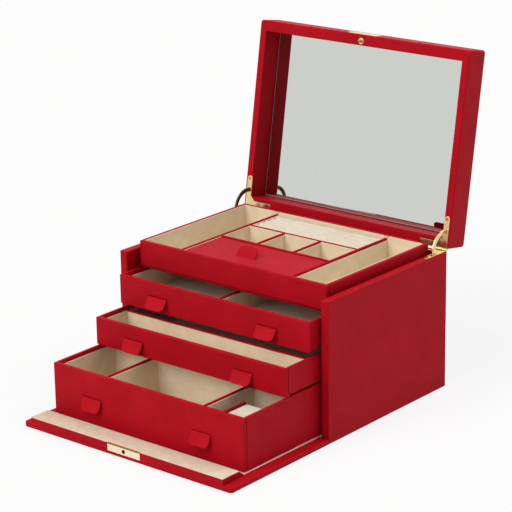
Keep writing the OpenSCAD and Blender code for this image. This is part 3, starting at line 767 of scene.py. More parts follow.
def inset(outline: Sequence[Point2], by: float) -> list[Vector]:
    """Outline moved inwards by a small distance, with mitred corners.

    Args:
        outline: Counterclockwise outline.
        by: Distance to move; a negative one moves it outwards.

    Returns:
        The moved outline.
    """
    count, moved = len(outline), []
    for i in range(count):
        here = Vector(outline[i])
        before, after = here - Vector(outline[i - 1]), Vector(outline[(i + 1) % count]) - here
        sides = [Vector((-d.y, d.x)).normalized() for d in (before, after) if d.length > 1e-7]
        middle = sum(sides, Vector((0.0, 0.0))).normalized()
        moved.append(here + middle * (by / max(0.5, middle.dot(sides[0]))))
    return moved


def edge_steps(z0: float, z1: float, bottom: float, top: float, arcs: int) -> list[Point2]:
    """How far each ring of a plate with rounded edges stands in, and how high.

    Args:
        z0: Height of the underside.
        z1: Height of the top.
        bottom: Radius of the lower edge.
        top: Radius of the upper edge.
        arcs: Spans of each rounding.

    Returns:
        Inset and height pairs, from the underside up.
    """
    turns = [math.pi / 2 * k / arcs for k in range(arcs + 1)]
    lower = [(bottom * (1 - math.sin(t)), z0 + bottom * (1 - math.cos(t))) for t in turns]
    return lower + [(top * (1 - math.sin(t)), z1 - top * (1 - math.cos(t))) for t in reversed(turns)]


def plate(
    outline: Sequence[Point2], z0: float, z1: float, top: float = 0.4, bottom: float = 0.4, arcs: int = 3
) -> Shape:
    """Flat plate of a given outline with rounded upper and lower edges.

    Args:
        outline: Counterclockwise outline in X and Y.
        z0: Height of the underside.
        z1: Height of the top.
        top: Radius of the upper edge.
        bottom: Radius of the lower edge.
        arcs: Spans of each rounding.

    Returns:
        The closed shape.
    """
    steps = edge_steps(z0, z1, bottom, top, arcs)
    return loft([[Vector((p.x, p.y, z)) for p in inset(outline, by)] for by, z in steps])


def turned(profile: Sequence[Point2], spans: int = 24) -> Shape:
    """Solid of revolution about Z.

    Args:
        profile: Radius and height pairs from the lower to the upper end.
        spans: Spans round the axis.

    Returns:
        The closed shape.
    """
    angles = [2 * math.pi * k / spans for k in range(spans)]
    return loft([[Vector((r * math.cos(a), r * math.sin(a), z)) for a in angles] for r, z in profile])


def along_x(shape: Shape, x: float, y: float, z: float) -> Shape:
    """A shape drawn about Z, laid along +X with its base at a point."""
    return shape.moved(Matrix.Translation((x, y, z)) @ Matrix.Rotation(math.pi / 2, 4, "Y"))


def rod(radius: float, length: float, edge: float = 0.15) -> Shape:
    """Round rod standing on Z = 0, with softened ends."""
    return turned([(radius - edge, 0.0), (radius, edge), (radius, length - edge), (radius - edge, length)])


def smooth_by_angle(mesh: bpy.types.Mesh) -> None:
    """Shades a mesh smooth and marks the edges that turn sharply.

    Args:
        mesh: Mesh to shade.
    """
    work = bmesh.new()
    work.from_mesh(mesh)
    bmesh.ops.remove_doubles(work, verts=work.verts, dist=WELD)
    bmesh.ops.recalc_face_normals(work, faces=work.faces)
    for face in work.faces:
        face.smooth = True
    for edge in work.edges:
        edge.smooth = edge.calc_face_angle(math.pi) < SHARP_EDGE
    work.to_mesh(mesh)
    work.free()


def make_object(name: str, shape: Shape) -> Thing:
    """Turns a shape into a mesh object in metres, linked into the scene.

    Args:
        name: Object name.
        shape: Shape in millimetres.

    Returns:
        The object, smooth but for its sharp edges.
    """
    mesh = bpy.data.meshes.new(name)
    mesh.from_pydata([p * MM for p in shape.points], [], shape.faces)
    smooth_by_angle(mesh)
    thing = bpy.data.objects.new(name, mesh)
    bpy.context.scene.collection.objects.link(thing)
    return thing


def bake_modifiers(thing: Thing) -> None:
    """Replaces an object's mesh by what its modifiers make of it.

    Args:
        thing: Object to bake.
    """
    graph = bpy.context.evaluated_depsgraph_get()
    mesh = bpy.data.meshes.new_from_object(thing.evaluated_get(graph), depsgraph=graph)
    thing.modifiers.clear()
    old, thing.data = thing.data, mesh
    bpy.data.meshes.remove(old)


def carved(shape: Shape, cutters: Iterable[Shape]) -> Shape:
    """A shape with closed cutters taken away from it.

    Args:
        shape: Shape to carve.
        cutters: Shapes to take away.

    Returns:
        The carved shape.
    """
    thing = make_object("carving", shape)
    tools = [make_object(f"cutter_{i}", cutter) for i, cutter in enumerate(cutters)]
    for tool in tools:
        step = thing.modifiers.new("cut", "BOOLEAN")
        step.operation, step.solver, step.object = "DIFFERENCE", "EXACT", tool
    bake_modifiers(thing)
    smooth_by_angle(thing.data)
    result = Shape(
        [v.co / MM for v in thing.data.vertices], [tuple(p.vertices) for p in thing.data.polygons]
    )
    for used in (thing, *tools):
        mesh = used.data
        bpy.data.objects.remove(used)
        bpy.data.meshes.remove(mesh)
    return result


def dress(thing: Thing, body: Body, finish: Finish, nodes: Sequence[str]) -> None:
    """Gives an object its finish and fixes it to its body.

    Args:
        thing: Object to dress.
        body: Body that it moves with.
        finish: Finish that it wears.
        nodes: CAD nodes that it stands for.
    """
    thing.data.materials.append(finish.material())
    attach(thing, body.value)
    if nodes:
        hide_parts(*nodes)
    LOG.info("%s: %d points on %s", thing.name, len(thing.data.vertices), body.value)


def piece(name: str, shape: Shape, body: Body, finish: Finish, *nodes: str) -> Thing:
    """Makes one finished piece that rides on a body.

    Args:
        name: Piece name.
        shape: Its shape in millimetres.
        body: Body that it moves with.
        finish: Finish that it wears.
        *nodes: CAD nodes that it stands for.

    Returns:
        The piece.
    """
    thing = make_object(name, shape)
    thing.modifiers.new("even_normals", "WEIGHTED_NORMAL").keep_sharp = True
    dress(thing, body, finish, nodes)
    return thing


# ==== Lined cells ====


@dataclass
class Sides:
    """One length for each side of a cell, in millimetres."""

    left: float
    right: float
    near: float
    far: float


@dataclass
class CellLining:
    """Suede lining of one open cell: four walls and a slightly padded floor in one skin."""

    thickness: float = 1.1
    corner: float = 0.3
    least_corner: float = 0.2
    fillet: float = 0.5
    floor_crown: float = 0.5
    clearance: float = 0.05
    # Share of the way to the cell's middle at which the padded floor is at its highest.
    crown_at: float = 0.8
    spans: int = 4

    def shape(self, cell: Box, drops: Sides) -> Shape:
        """The lining of a cell.

        Args:
            cell: Bare space of the cell, from its floor to the rim.
            drops: How far the lining ends below the rim on each side.

        Returns:
            The closed skin.
        """
        floor, t, fillet = cell.low.z + self.clearance, self.thickness, self.fillet
        sides = [cell.high.z - drop for drop in (drops.left, drops.near, drops.right, drops.far)]
        turns = zip(sides, sides[1:] + sides[:1])
        tops = [a + (b - a) * k / self.spans for a, b in turns for k in range(self.spans + 1)]

        def outline(by: float) -> list[Point2]:
            """Plan of the cell, moved inwards."""
            edges = cell.low.x + by, cell.low.y + by, cell.high.x - by, cell.high.y - by
            return rounded_rectangle(*edges, [max(self.least_corner, self.corner + t - by)] * 4, self.spans)

        def ring(by: float, z: float) -> list[Vector]:
            """Level ring of the skin."""
            return [Vector((x, y, z)) for x, y in outline(by)]

        def rim(by: float, down: float) -> list[Vector]:
            """Ring that follows the tops of the four walls."""
            return [Vector((x, y, top - down)) for (x, y), top in zip(outline(by), tops)]

        edge = self.clearance
        # Shares of the skin's thickness over which its top edge turns, sideways and down.
        bevel, dip = 0.2, 0.25 * t
        rings = [ring(edge, floor), rim(edge, dip), rim(edge + bevel * t, 0.0)]
        rings += [rim(edge + (1 - bevel) * t, 0.0), rim(edge + t, dip)]
        for k in range(self.spans + 1):
            turn = math.pi / 2 * k / self.spans
            by, up = fillet * (1 - math.cos(turn)), fillet * (1 - math.sin(turn))
            rings.append(ring(edge + t + by, floor + t + up))
        reach = min(cell.high.x - cell.low.x, cell.high.y - cell.low.y) / 2 - t - fillet - edge
        for share in (0.25, 0.5, self.crown_at):
            lift = self.floor_crown * math.sin(math.pi / 2 * share / self.crown_at)
            rings.append(ring(edge + t + fillet + reach * share, floor + t + lift))
        return loft(rings)


def row_cells(edges: Sequence[float], box: Box, axis: int, wall: float) -> list[Box]:
    """Splits a space into a row of cells.

    Args:
        edges: Middle of each divider along the axis, in order.
        box: Whole space between the outer walls.
        axis: Axis of the row.
        wall: Divider thickness.

    Returns:
        The spaces between the dividers.
    """
    starts = [box.low[axis]] + [e + wall / 2 for e in edges]
    ends = [e - wall / 2 for e in edges] + [box.high[axis]]
    return [box.with_face(axis, start, end) for start, end in zip(starts, ends)]


def slab(
    box: Box,
    corners: Sequence[float],
    top: float,
    bottom: float,
    crown: float = 0.0,
    arcs: int = 3,
) -> Shape:
    """Rectangular plate with rounded corners, rounded edges and, if wanted, a padded top.

    Args:
        box: Outer box, without the crown.
        corners: Corner radii: near-left, near-right, far-right, far-left.
        top: Radius of the upper edge.
        bottom: Radius of the lower edge.
        crown: How far the middle of the top swells.
        arcs: Spans of each edge; one span makes a bevel.

    Returns:
        The closed shape.
    """

    least, crown_at, crown_shares = 0.15, 0.7, (0.06, 0.2, 0.4, 0.7, 0.9)

    def ring(by: float, z: float) -> list[Vector]:
        """Level ring of the plate.

        Args:
            by: How far it stands in.
            z: Its height.

        Returns:
            Its points.
        """
        radii = [max(least, corner - by) for corner in corners]
        outline = rounded_rectangle(box.low.x + by, box.low.y + by, box.high.x - by, box.high.y - by, radii)
        return [Vector((x, y, z)) for x, y in outline]

    rings = [ring(by, z) for by, z in edge_steps(box.low.z, box.high.z, bottom, top, arcs)]
    if crown:
        reach = min(box.high.x - box.low.x, box.high.y - box.low.y) / 2 - top
        for share in crown_shares:
            lift = crown * math.sin(math.pi / 2 * min(1.0, share / crown_at))
            rings.append(ring(top + reach * share, box.high.z + lift))
    return loft(rings)


def bar_along_x(profile: Sequence[Point2], x0: float, x1: float, edge: float) -> Shape:
    """Bar whose side view is an outline in Y and Z.

    Args:
        profile: Counterclockwise outline seen from +X, as Y and Z pairs.
        x0: Left end.
        x1: Right end.
        edge: Radius round both ends.

    Returns:
        The closed shape.
    """
    return plate(profile, x0, x1, edge, edge).mapped(lambda p: Vector((p.z, p.x, p.y)))


# Turns a plate drawn flat to stand upright and face the front: its height along Y becomes height along Z.
UPRIGHT = Matrix.Rotation(math.pi / 2, 4, "X")


# ==== Pull tabs ====


@dataclass
class PullTab:
    """Folded leather tab that comes out of a slit, bends once and ends in two rounded corners."""

    width: float
    length: float
    thickness: float = 1.5
    corner: float = 6.0
    bend_radius: float = 1.4
    root: float = 4.0
    bow: float = 0.6
    edge: float = 0.5
    spans: int = 6

    def shape(self, out: Vector, leaf: Vector, exit_point: Vector) -> Shape:
        """The tab along its bent centreline.

        Args:
            out: Direction in which the root leaves the slit.
            leaf: Direction of the leaf after the bend.
            exit_point: Where the two centrelines meet.

        Returns:
            The closed shape.
        """
        turn, straight = out.angle(leaf), out.angle(leaf) < 1e-3
        across = Vector((1.0, 0.0, 0.0)) if straight else out.cross(leaf).normalized()
        tangent = self.bend_radius * math.tan(turn / 2)
        start = exit_point - out * (self.root + tangent)
        path = [(start, out, 0.0)]
        for k in range(self.spans + 1):
            way = leaf if straight else out.slerp(leaf, k / self.spans)
            middle = exit_point - out * tangent
            for step in range(k):
                along = leaf if straight else out.slerp(leaf, (step + 0.5) / self.spans)
                middle = middle + along * (self.bend_radius * turn / self.spans)
            path.append((middle, way, 0.0))
        last, bend_end = path[-1][0], self.length - tangent
        plain = bend_end - self.corner
        for k in range(1, 5):
            path.append((last + leaf * plain * k / 4, leaf, plain * k / 4))
        for k in range(1, self.spans + 1):
            s = plain + self.corner * math.sin(math.pi / 2 * k / self.spans)
            path.append((last + leaf * s, leaf, s))
        rings = []
        for place, way, s in path:
            up = across.cross(way).normalized()
            into = max(0.0, s - plain)
            narrow = self.corner - math.sqrt(max(0.0, self.corner**2 - into**2))
            half, t = self.width / 2 - narrow, self.thickness / 2
            lift = self.bow * math.sin(math.pi * min(1.0, s / bend_end))
            outline = rounded_rectangle(-half, -t, half, t, [self.edge] * 4, 3)
            rings.append([place + across * u + up * (v + lift) for u, v in outline])
        return loft(rings)


# ==== Quadrant hinges ====


@dataclass
class QuadrantHinge:
    """Right-hand brass hinge: two L-shaped leaves, a barrel on a pin, and a curved stay."""

    side_x: float
    back_y: float
    case_top: float
    pin_y: float
    pin_z: float
    lid_open: float
    rim_gap: float = 0.8
    leaf_t: float = 1.2
    inset: float = 2.2
    side_w: float = 7.6
    rear_w: float = 5.4
    side_len: float = 36.0
    rear_len: float = 38.8
    web: float = 6.0
    screw_in: float = 3.5
    screw_head: float = 4.0
    screw_len: float = 9.0
    screw_shank: float = 1.8
    screw_turn: float = 70.0
    slot_w: float = 0.55
    slot_depth: float = 0.45
    knuckle_r: float = 2.4
    pin_r: float = 1.0
    barrel_len: float = 18.0
    barrel_inset: float = 2.0
    knuckle_gap: float = 0.3
    relief: float = 0.3
    stay_in: float = 20.0
    stay_out: float = 25.0
    stay_t: float = 2.0
    stay_gap: float = 0.3
    stay_grip: float = 3.0
    stay_mouth: float = 10.0
    stay_spare: float = 2.0
    stay_edge: float = 0.45
    # How far a pocket's cutter stands above the face that it cuts.
    clear: float = 2.0
    knuckle_edge: float = 0.25
    pin_edge: float = 0.3
    hole_gap: float = 0.12
    shown_edge: float = 0.3
    hidden_edge: float = 0.1
    pocket_fit: float = 0.08
    proud: float = 0.06

    @classmethod
    def placed(cls) -> "QuadrantHinge":
        """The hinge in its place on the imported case.

        Returns:
            The right-hand hinge.
        """
        joint = next(j for j in frame["joints"] if j["name"] == "lid_hinge")
        panel = Box.of("side_panel_right")
        _, pin_y, pin_z = [value / MM for value in joint["pos_m"]]
        return cls(panel.high.x, panel.high.y, panel.high.z, pin_y, pin_z, -min(joint["range_deg"]))

    def __post_init__(self) -> None:
        """Works out the places that the leaves, screws and cuts share."""
        self.lid_rim = self.case_top + self.rim_gap
        self.out_x = self.side_x - self.inset
        self.in_x = self.out_x - self.side_w
        self.leaf_back = self.back_y - self.inset
        self.leaf_front = self.leaf_back - self.rear_w
        self.side_end = self.back_y - self.side_len
        self.rear_end = self.out_x - self.rear_len
        self.barrel_out = self.side_x - self.barrel_inset
        self.barrel_in = self.barrel_out - self.barrel_len
        self.knuckle = (self.barrel_len - 2 * self.knuckle_gap) / 3
        self.stay_x = self.out_x - self.side_w / 2
        self.screws = [
            (self.in_x + self.side_w / 2, self.side_end - self.side_w / 2 + self.screw_in),
            (self.rear_end - self.rear_w / 2 + self.screw_in, self.leaf_front + self.rear_w / 2),
        ]
        self.outer_tongues = [
            (self.barrel_in, self.barrel_in + self.knuckle),
            (self.barrel_out - self.knuckle, self.barrel_out),
        ]
        middle = self.barrel_in + self.knuckle + self.knuckle_gap
        self.middle_tongue = [(middle, middle + self.knuckle)]

    def outline(self, tongues: Sequence[Point2], arcs: int = 10) -> list[Point2]:
        """Plan of a leaf.

        Args:
            tongues: X ranges of the tongues that reach back to the pin.
            arcs: Spans of each rounded end.

        Returns:
            The counterclockwise outline.
        """
        points = [(self.out_x, self.leaf_front)]
        for x0, x1 in sorted(tongues, reverse=True):
            near = self.leaf_front if x1 > self.out_x else self.leaf_back
            points += [(x1, near), (x1, self.pin_y), (x0, self.pin_y), (x0, self.leaf_back)]
        if tongues[-1][1] < self.out_x:
            points.insert(1, (self.out_x, self.leaf_back))
        rear_r, side_r = self.rear_w / 2, self.side_w / 2
        points += arc((self.rear_end, self.leaf_front + rear_r), rear_r, 90, 270, arcs)
        points += [(self.in_x - self.web, self.leaf_front), (self.in_x, self.leaf_front - self.web)]
        points += arc((self.in_x + side_r, self.side_end), side_r, 180, 360, arcs)
        return points

    def sector(
        self, r_in: float, r_out: float, thick: float, start: float, end: float, edge: float
    ) -> Shape:
        """Part of a flat ring round the pin.

        Args:
            r_in: Inner radius.
            r_out: Outer radius.
            thick: Thickness along X.
            start: First angle above the line to the front, in degrees.
            end: Last angle.
            edge: Radius of the ring's four edges.

        Returns:
            The closed shape.
        """
        spans = max(8, int((end - start) / 4))
        section = rounded_rectangle(r_in, -thick / 2, r_out, thick / 2, [edge] * 4, 3)
        rings = []
        for k in range(spans + 1):
            angle = math.radians(start + (end - start) * k / spans)
            rings.append(
                [Vector(
                    (self.stay_x + t, self.pin_y - r * math.cos(angle), self.pin_z + r * math.sin(angle))
                )
                 for r, t in section]
            )
        return loft(rings)

    def stay_slot(self, start: float, end: float) -> Shape:
        """Slot for the stay between two angles."""
        gap = self.stay_gap
        return self.sector(self.stay_in - gap, self.stay_out + gap, self.stay_t + 2 * gap, start, end, CRISP)

    def case_slot(self) -> Shape:
        """Slot in the case that takes the stay when the lid is shut."""
        return self.stay_slot(-(self.lid_open / 2 + self.stay_grip + self.stay_spare), self.stay_mouth)

    def lid_slot(self) -> Shape:
        """Slot in the closed lid that takes the stay."""
        return self.stay_slot(-self.stay_mouth, self.lid_open / 2 + self.stay_grip + self.stay_spare)

    def pocket(self, tongues: Sequence[Point2], z0: float, z1: float) -> Shape:
        """Shallow pocket that a leaf is let into, between two heights."""
        outline = inset(self.outline(tongues), -self.pocket_fit)
        return loft([[Vector((p.x, p.y, z)) for p in outline] for z in (z0, z1)])

    def barrel_cut(self) -> Shape:
        """Round notch in the panels that the barrel turns in."""
        notch = rod(self.knuckle_r + self.relief, self.barrel_len + 2 * self.knuckle_gap, BORE_EDGE)
        return along_x(notch, self.barrel_in - self.knuckle_gap, self.pin_y, self.pin_z)

    def case_cuts(self) -> list[Shape]:
        """What the right half of the case gives up to the hinge."""
        pocket = self.pocket(self.outer_tongues, self.case_top - self.leaf_t, self.case_top + self.clear)
        return [pocket, self.barrel_cut(), self.case_slot()]

    def lid_cuts(self) -> list[Shape]:
        """What the right half of the closed lid gives up to the hinge."""
        pocket = self.pocket(self.middle_tongue, self.lid_rim - self.clear, self.lid_rim + self.leaf_t)
        return [pocket, self.barrel_cut(), self.lid_slot()]

    def knuckles(self, ranges: Sequence[Point2]) -> Shape:
        """Barrel pieces over ranges of X.

        Args:
            ranges: The ranges.

        Returns:
            The pieces as one shape.
        """
        shape = Shape()
        for x0, x1 in ranges:
            shape.add(along_x(rod(self.knuckle_r, x1 - x0, self.knuckle_edge), x0, self.pin_y, self.pin_z))
        return shape

    def screw_hole(self, place: Point2, z0: float, z1: float) -> Shape:
        """Bore for a screw head through a leaf."""
        radius = self.screw_head / 2 + self.hole_gap
        return turned([(radius, z0), (radius, z1)], 20).moved(Matrix.Translation((place[0], place[1], 0.0)))

    def leaf(self, tongues: Sequence[Point2], low: float, high: float, up: bool, slot: Shape) -> Shape:
        """One leaf with its knuckles, bored for its screws and slotted for the stay.

        Args:
            tongues: X ranges of its knuckles.
            low: Height of its underside.
            high: Height of its top.
            up: Whether its outer face is the upper one.
            slot: Slot that the stay runs in.

        Returns:
            The carved leaf.
        """
        shown, hidden = self.shown_edge, self.hidden_edge
        body = plate(self.outline(tongues), low, high, shown if up else hidden, hidden if up else shown)
        cutters = [self.screw_hole(p, low - 1.0, high + 1.0) for p in self.screws] + [slot]
        return carved(body, cutters).add(self.knuckles(tongues))

    def case_leaf(self) -> Shape:
        """Leaf let into the top of the case."""
        low, high = self.case_top - self.leaf_t, self.case_top + self.proud
        return self.leaf(self.outer_tongues, low, high, True, self.case_slot())

    def lid_leaf(self) -> Shape:
        """Leaf let into the closed lid's rim."""
        low, high = self.lid_rim - self.proud, self.lid_rim + self.leaf_t
        return self.leaf(self.middle_tongue, low, high, False, self.lid_slot())

    def screw(self) -> Shape:
        """Slotted countersunk screw with its head's face at Z = 0 and its shank down.

        Returns:
            The closed shape.
        """
        head, shank, depth = self.screw_head / 2, self.screw_shank / 2, self.leaf_t
        profile = [
            (AXIS, -self.screw_len), (shank * 0.6, -self.screw_len + 0.8), (shank, -self.screw_len + 2.0),
            (shank, -depth), (head - 0.25, -0.35), (head, -0.15), (head - 0.12, -0.02),
            (head * 0.6, 0.05), (AXIS, 0.08),
        ]
        groove = Box.spanning(-head, -self.slot_w / 2, -self.slot_depth, head, self.slot_w / 2, 1.0)
        return carved(turned(profile), [soft_box(groove, 0.02)])

    def screw_set(self, head_z: float, down: bool) -> Shape:
        """Screws of one leaf, turned by hand to different angles.

        Args:
            head_z: Height of the heads' faces.
            down: Whether the shanks point down.

        Returns:
            The screws as one shape.
        """
        screw, shape = self.screw(), Shape()
        for i, (x, y) in enumerate(self.screws):
            spin = Matrix.Rotation(math.radians(self.screw_turn * (i + 0.5)), 4, "Z")
            turn = Matrix.Identity(4) if down else Matrix.Rotation(math.pi, 4, "X")
            shape.add(screw.moved(Matrix.Translation((x, y, head_z)) @ turn @ spin))
        return shape

    def pin(self) -> Shape:
        """Pin through the barrel.

        Returns:
            The closed shape.
        """
        return along_x(
            rod(self.pin_r, self.barrel_len, self.pin_edge), self.barrel_in, self.pin_y, self.pin_z
        )

    def stay(self) -> Shape:
        """Curved stay that stops the open lid."""
        end = self.lid_open + self.stay_grip
        return self.sector(self.stay_in, self.stay_out, self.stay_t, -self.stay_grip, end, self.stay_edge)

    def build(self) -> None:
        """Builds the pieces that stay with the case, and the two stays."""
        leaf, stay = self.case_leaf(), self.stay()
        piece("case_hinge_leaf_right_brass", leaf, Body.CASE, BRASS, "case_hinge_leaf_right")
        piece("case_hinge_leaf_left_brass", leaf.moved(MIRROR_X), Body.CASE, BRASS, "case_hinge_leaf_left")
        piece("hinge_pins_brass", both_sides(self.pin()), Body.CASE, SCREW_BRASS, "hinge_pins")
        screws = both_sides(self.screw_set(self.case_top, down=True))
        piece("case_leaf_screws_brass", screws, Body.CASE, SCREW_BRASS, "case_leaf_screws")
        piece("lid_stay_right_brass", stay, Body.STAY_RIGHT, BRASS, "lid_stay_right")
        # The left stay wears brass darkened to paint its shade and dark reflections; the right stay is plain
        # brass.
        piece("lid_stay_left_brass", stay.moved(MIRROR_X), Body.STAY_LEFT, SHADE_PAINTED_BRASS, "lid_stay_left")


# ==== Carcass ====


@dataclass
class Carcass:
    """Leather-covered case: side panels, back, base, cheeks, shelves and the linings fixed in it."""

    hinge: QuadrantHinge
    panel_edge: float = 1.5
    panel_wave: float = 0.1
    back_edge: float = 0.9
    back_step: float = 18.0
    back_wave: float = 0.08
    board_edge: float = 0.9
    lining_corner: float = 0.5
    lining_edge: float = 0.5
    lining_foot: float = 0.1
    lining_crown: float = 0.3
    strip_edge: float = 0.4
    shelf_t: float = 2.0
    # How far an upper shelf lies below its drawer's box, and behind the cheeks' front edges.
    shelf_gap: float = 0.3
    shelf_setback: float = 5.8

    def build(self) -> None:
        """Builds and dresses every fixed board."""
        cuts = self.hinge.case_cuts()
        side = soft_box(Box.of("side_panel_right"), self.panel_edge, BOARD_STEP, BOARD_ARCS)
        side = carved(side.hand_made(self.panel_wave), cuts)
        piece("side_panel_right_leather", side, Body.CASE, RED_LEATHER, "side_panel_right")
        piece("side_panel_left_leather", side.moved(MIRROR_X), Body.CASE, RED_LEATHER, "side_panel_left")
        back = soft_box(Box.of("back_panel"), self.back_edge, self.back_step, BOARD_ARCS)
        back = carved(back.hand_made(self.back_wave), cuts + [c.moved(MIRROR_X) for c in cuts])
        piece("back_panel_leather", back, Body.CASE, RED_LEATHER, "back_panel")
        base = soft_box(Box.of("base_panel"), self.board_edge)
        piece("base_panel_leather", base, Body.CASE, TURNED_LEATHER, "base_panel")
        cheek = soft_box(
            Box.of("inner_cheeks").with_face(0, Box.of("drawer_shelves").high.x), self.board_edge
        )
        piece("inner_cheeks_leather", both_sides(cheek), Body.CASE, TURNED_LEATHER, "inner_cheeks")
        corners = [self.lining_corner] * 4
        lining = slab(Box.of("floor_lining"), corners, self.lining_edge, self.lining_foot, self.lining_crown)
        piece("floor_lining_suede", lining, Body.CASE, CREAM_SUEDE, "floor_lining")
        strip = soft_box(Box.of("fall_front_hinge_strip"), self.strip_edge)
        piece("hinge_strip_suede", strip, Body.CASE, FALL_SUEDE, "fall_front_hinge_strip")
        self.build_shelves()

    def build_shelves(self) -> None:
        """Builds the three shelves between and above the drawers."""
        span, shelves = Box.of("drawer_shelves"), Shape()
        upper = Box.of("top_drawer_walls").low.z - self.shelf_gap
        front = Box.of("inner_cheeks").low.y + self.shelf_setback
        for top, near in ((span.low.z + self.shelf_t, front), (upper, front), (span.high.z, span.low.y)):
            board = Box.spanning(span.low.x, near, top - self.shelf_t, span.high.x, span.high.y, top)
            shelves.add(soft_box(board, self.board_edge))
        piece("drawer_shelves_leather", shelves, Body.CASE, LINING_LEATHER, "drawer_shelves")


# ==== Tray ====


@dataclass
class Tray:
    """Fixed upper tray: leather walls and dividers, suede cells and a bed of ring rolls."""

    wall_edge: float = 1.9
    wall_lap: float = 0.3
    divider_t: float = 3.4
    divider_edge: float = 1.1
    rolls: int = 5
    roll_gap: float = 0.4
    roll_slack: float = 0.3
    roll_side: float = 0.15
    roll_end: float = 2.0
    roll_wave: float = 0.18
    roll_wave_turn: float = 0.31
    roll_pinch: float = 0.12
    roll_fill: float = 0.9
    strip_gap: float = 0.25
    lining: CellLining = field(default_factory=CellLining)
    # How far the suede ends below the rim at the outer walls, and below a divider's top.
    wall_drop: float = 0.35
    front_drop: float = 2.2
    hidden_drop: float = 1.4
    cell_bare: float = 1.9
    column_bare: float = 2.8
    ring_bare: float = 0.8
    # Small suede fillers: their edges, the slack beside them and how far they reach into leather.
    filler_edge: float = 0.2
    filler_slack: float = 0.05
    filler_lap: float = 0.2
    filler_depth: float = 1.5
    strip_edge: float = 0.3
    stub_foot: float = 1.0
    ledge_edge: float = 0.6
    hinge_edge: float = 0.15

    def build(self) -> None:
        """Builds the tray's walls, dividers, linings and rolls."""
        front, back = Box.of("tray_front"), Box.of("tray_back")
        sides, floor = Box.of("tray_sides"), Box.of("tray_floor")
        self.floor_z, self.rim = floor.high.z, front.high.z
        for name, box in (("tray_front", front), ("tray_back", back)):
            shape = soft_box(box, self.wall_edge, BOARD_STEP, BOARD_ARCS).hand_made()
            piece(f"{name}_leather", shape, Body.CASE, RED_LEATHER, name)
        lap = self.wall_lap
        side = sides.with_face(0, floor.high.x).with_face(1, front.high.y - lap, back.low.y + lap)
        side = both_sides(soft_box(side, self.wall_edge, BOARD_STEP, BOARD_ARCS).hand_made())
        piece("tray_sides_leather", side, Body.CASE, RED_LEATHER, "tray_sides")
        board = soft_box(floor, self.lining.thickness / 2)
        piece("tray_floor_board", board, Body.CASE, LINING_LEATHER, "tray_floor")
        self.inner = Box.spanning(
            floor.low.x, front.high.y, self.floor_z, floor.high.x, back.low.y, self.rim
        )
        self.build_dividers()
        self.build_linings()
        self.build_rolls()

    def build_dividers(self) -> None:
        """Builds the lengthwise, cross and cell dividers."""
        columns, cross = Box.of("tray_column_dividers"), Box.of("tray_cross_dividers")
        cells, thick, edge = Box.of("tray_cell_dividers"), self.divider_t, self.divider_edge
        column = soft_box(columns.with_face(0, columns.high.x - thick), edge).hand_made()
        piece(
            "tray_column_dividers_leather", both_sides(column), Body.CASE, TURNED_LEATHER,
            "tray_column_dividers",
        )
        rails, end = Shape(), self.lining.thickness
        for low in (cross.low.y, cross.high.y - thick):
            rail = cross.with_face(0, cross.low.x + end, cross.high.x - end).with_face(1, low, low + thick)
            rails.add(soft_box(rail, edge).hand_made())
        piece("tray_cross_dividers_leather", rails, Body.CASE, TURNED_LEATHER, "tray_cross_dividers")
        small = soft_box(cells.with_face(0, cells.high.x - thick), edge).hand_made()
        piece(
            "tray_cell_dividers_leather", both_sides(small), Body.CASE, TURNED_LEATHER, "tray_cell_dividers"
        )
        self.column_x, self.cell_x = columns.high.x - thick / 2, cells.high.x - thick / 2
        self.column_top, self.cell_top = columns.high.z, cells.high.z
        self.cover_y, self.ring_y = cross.low.y, cross.high.y

    def build_linings(self) -> None:
        """Lines every open cell of the tray with suede."""
        wall, hidden, line = self.wall_drop, self.hidden_drop, self.lining.shape
        column, small_top = self.rim - self.column_top, self.rim - self.cell_top
        left, middle, right = row_cells([-self.column_x, self.column_x], self.inner, 0, self.divider_t)
        linings = line(left, Sides(wall, column + hidden, self.front_drop, wall))
        linings.add(line(right, Sides(column + self.column_bare, wall, self.front_drop, wall)))
        near, far = self.cover_y + self.divider_t, self.ring_y - self.divider_t
        cells = row_cells([-self.cell_x, self.cell_x], middle.with_face(1, near, far), 0, self.divider_t)
        for i, cell in enumerate(cells):
            at_left = column + hidden if i == 0 else small_top + self.cell_bare
            at_right = column + hidden if i == len(cells) - 1 else small_top + hidden
            linings.add(line(cell, Sides(at_left, at_right, column + hidden, column + self.ring_bare)))
        rings = middle.with_face(1, self.ring_y)
        linings.add(line(rings, Sides(column + hidden, column + hidden, column + hidden, wall)))
        ledge, cover = Box.of("cover_ledge"), Box.of("tray_cover")
        under = middle.with_face(1, high=self.cover_y).with_face(2, high=ledge.low.z)
        linings.add(line(under, Sides(hidden, hidden, hidden, hidden)))
        self.add_fillers(linings, middle.high.x, cover, ledge.low.z)
        piece("tray_cell_linings", linings, Body.CASE, CREAM_SUEDE)
        piece("cover_ledge_suede", soft_box(ledge, self.ledge_edge), Body.CASE, CREAM_SUEDE, "cover_ledge")
        strip = soft_box(Box.of("cover_hinge_strip"), self.hinge_edge)
        piece("cover_hinge_strip_leather", strip, Body.CASE, TURNED_LEATHER, "cover_hinge_strip")

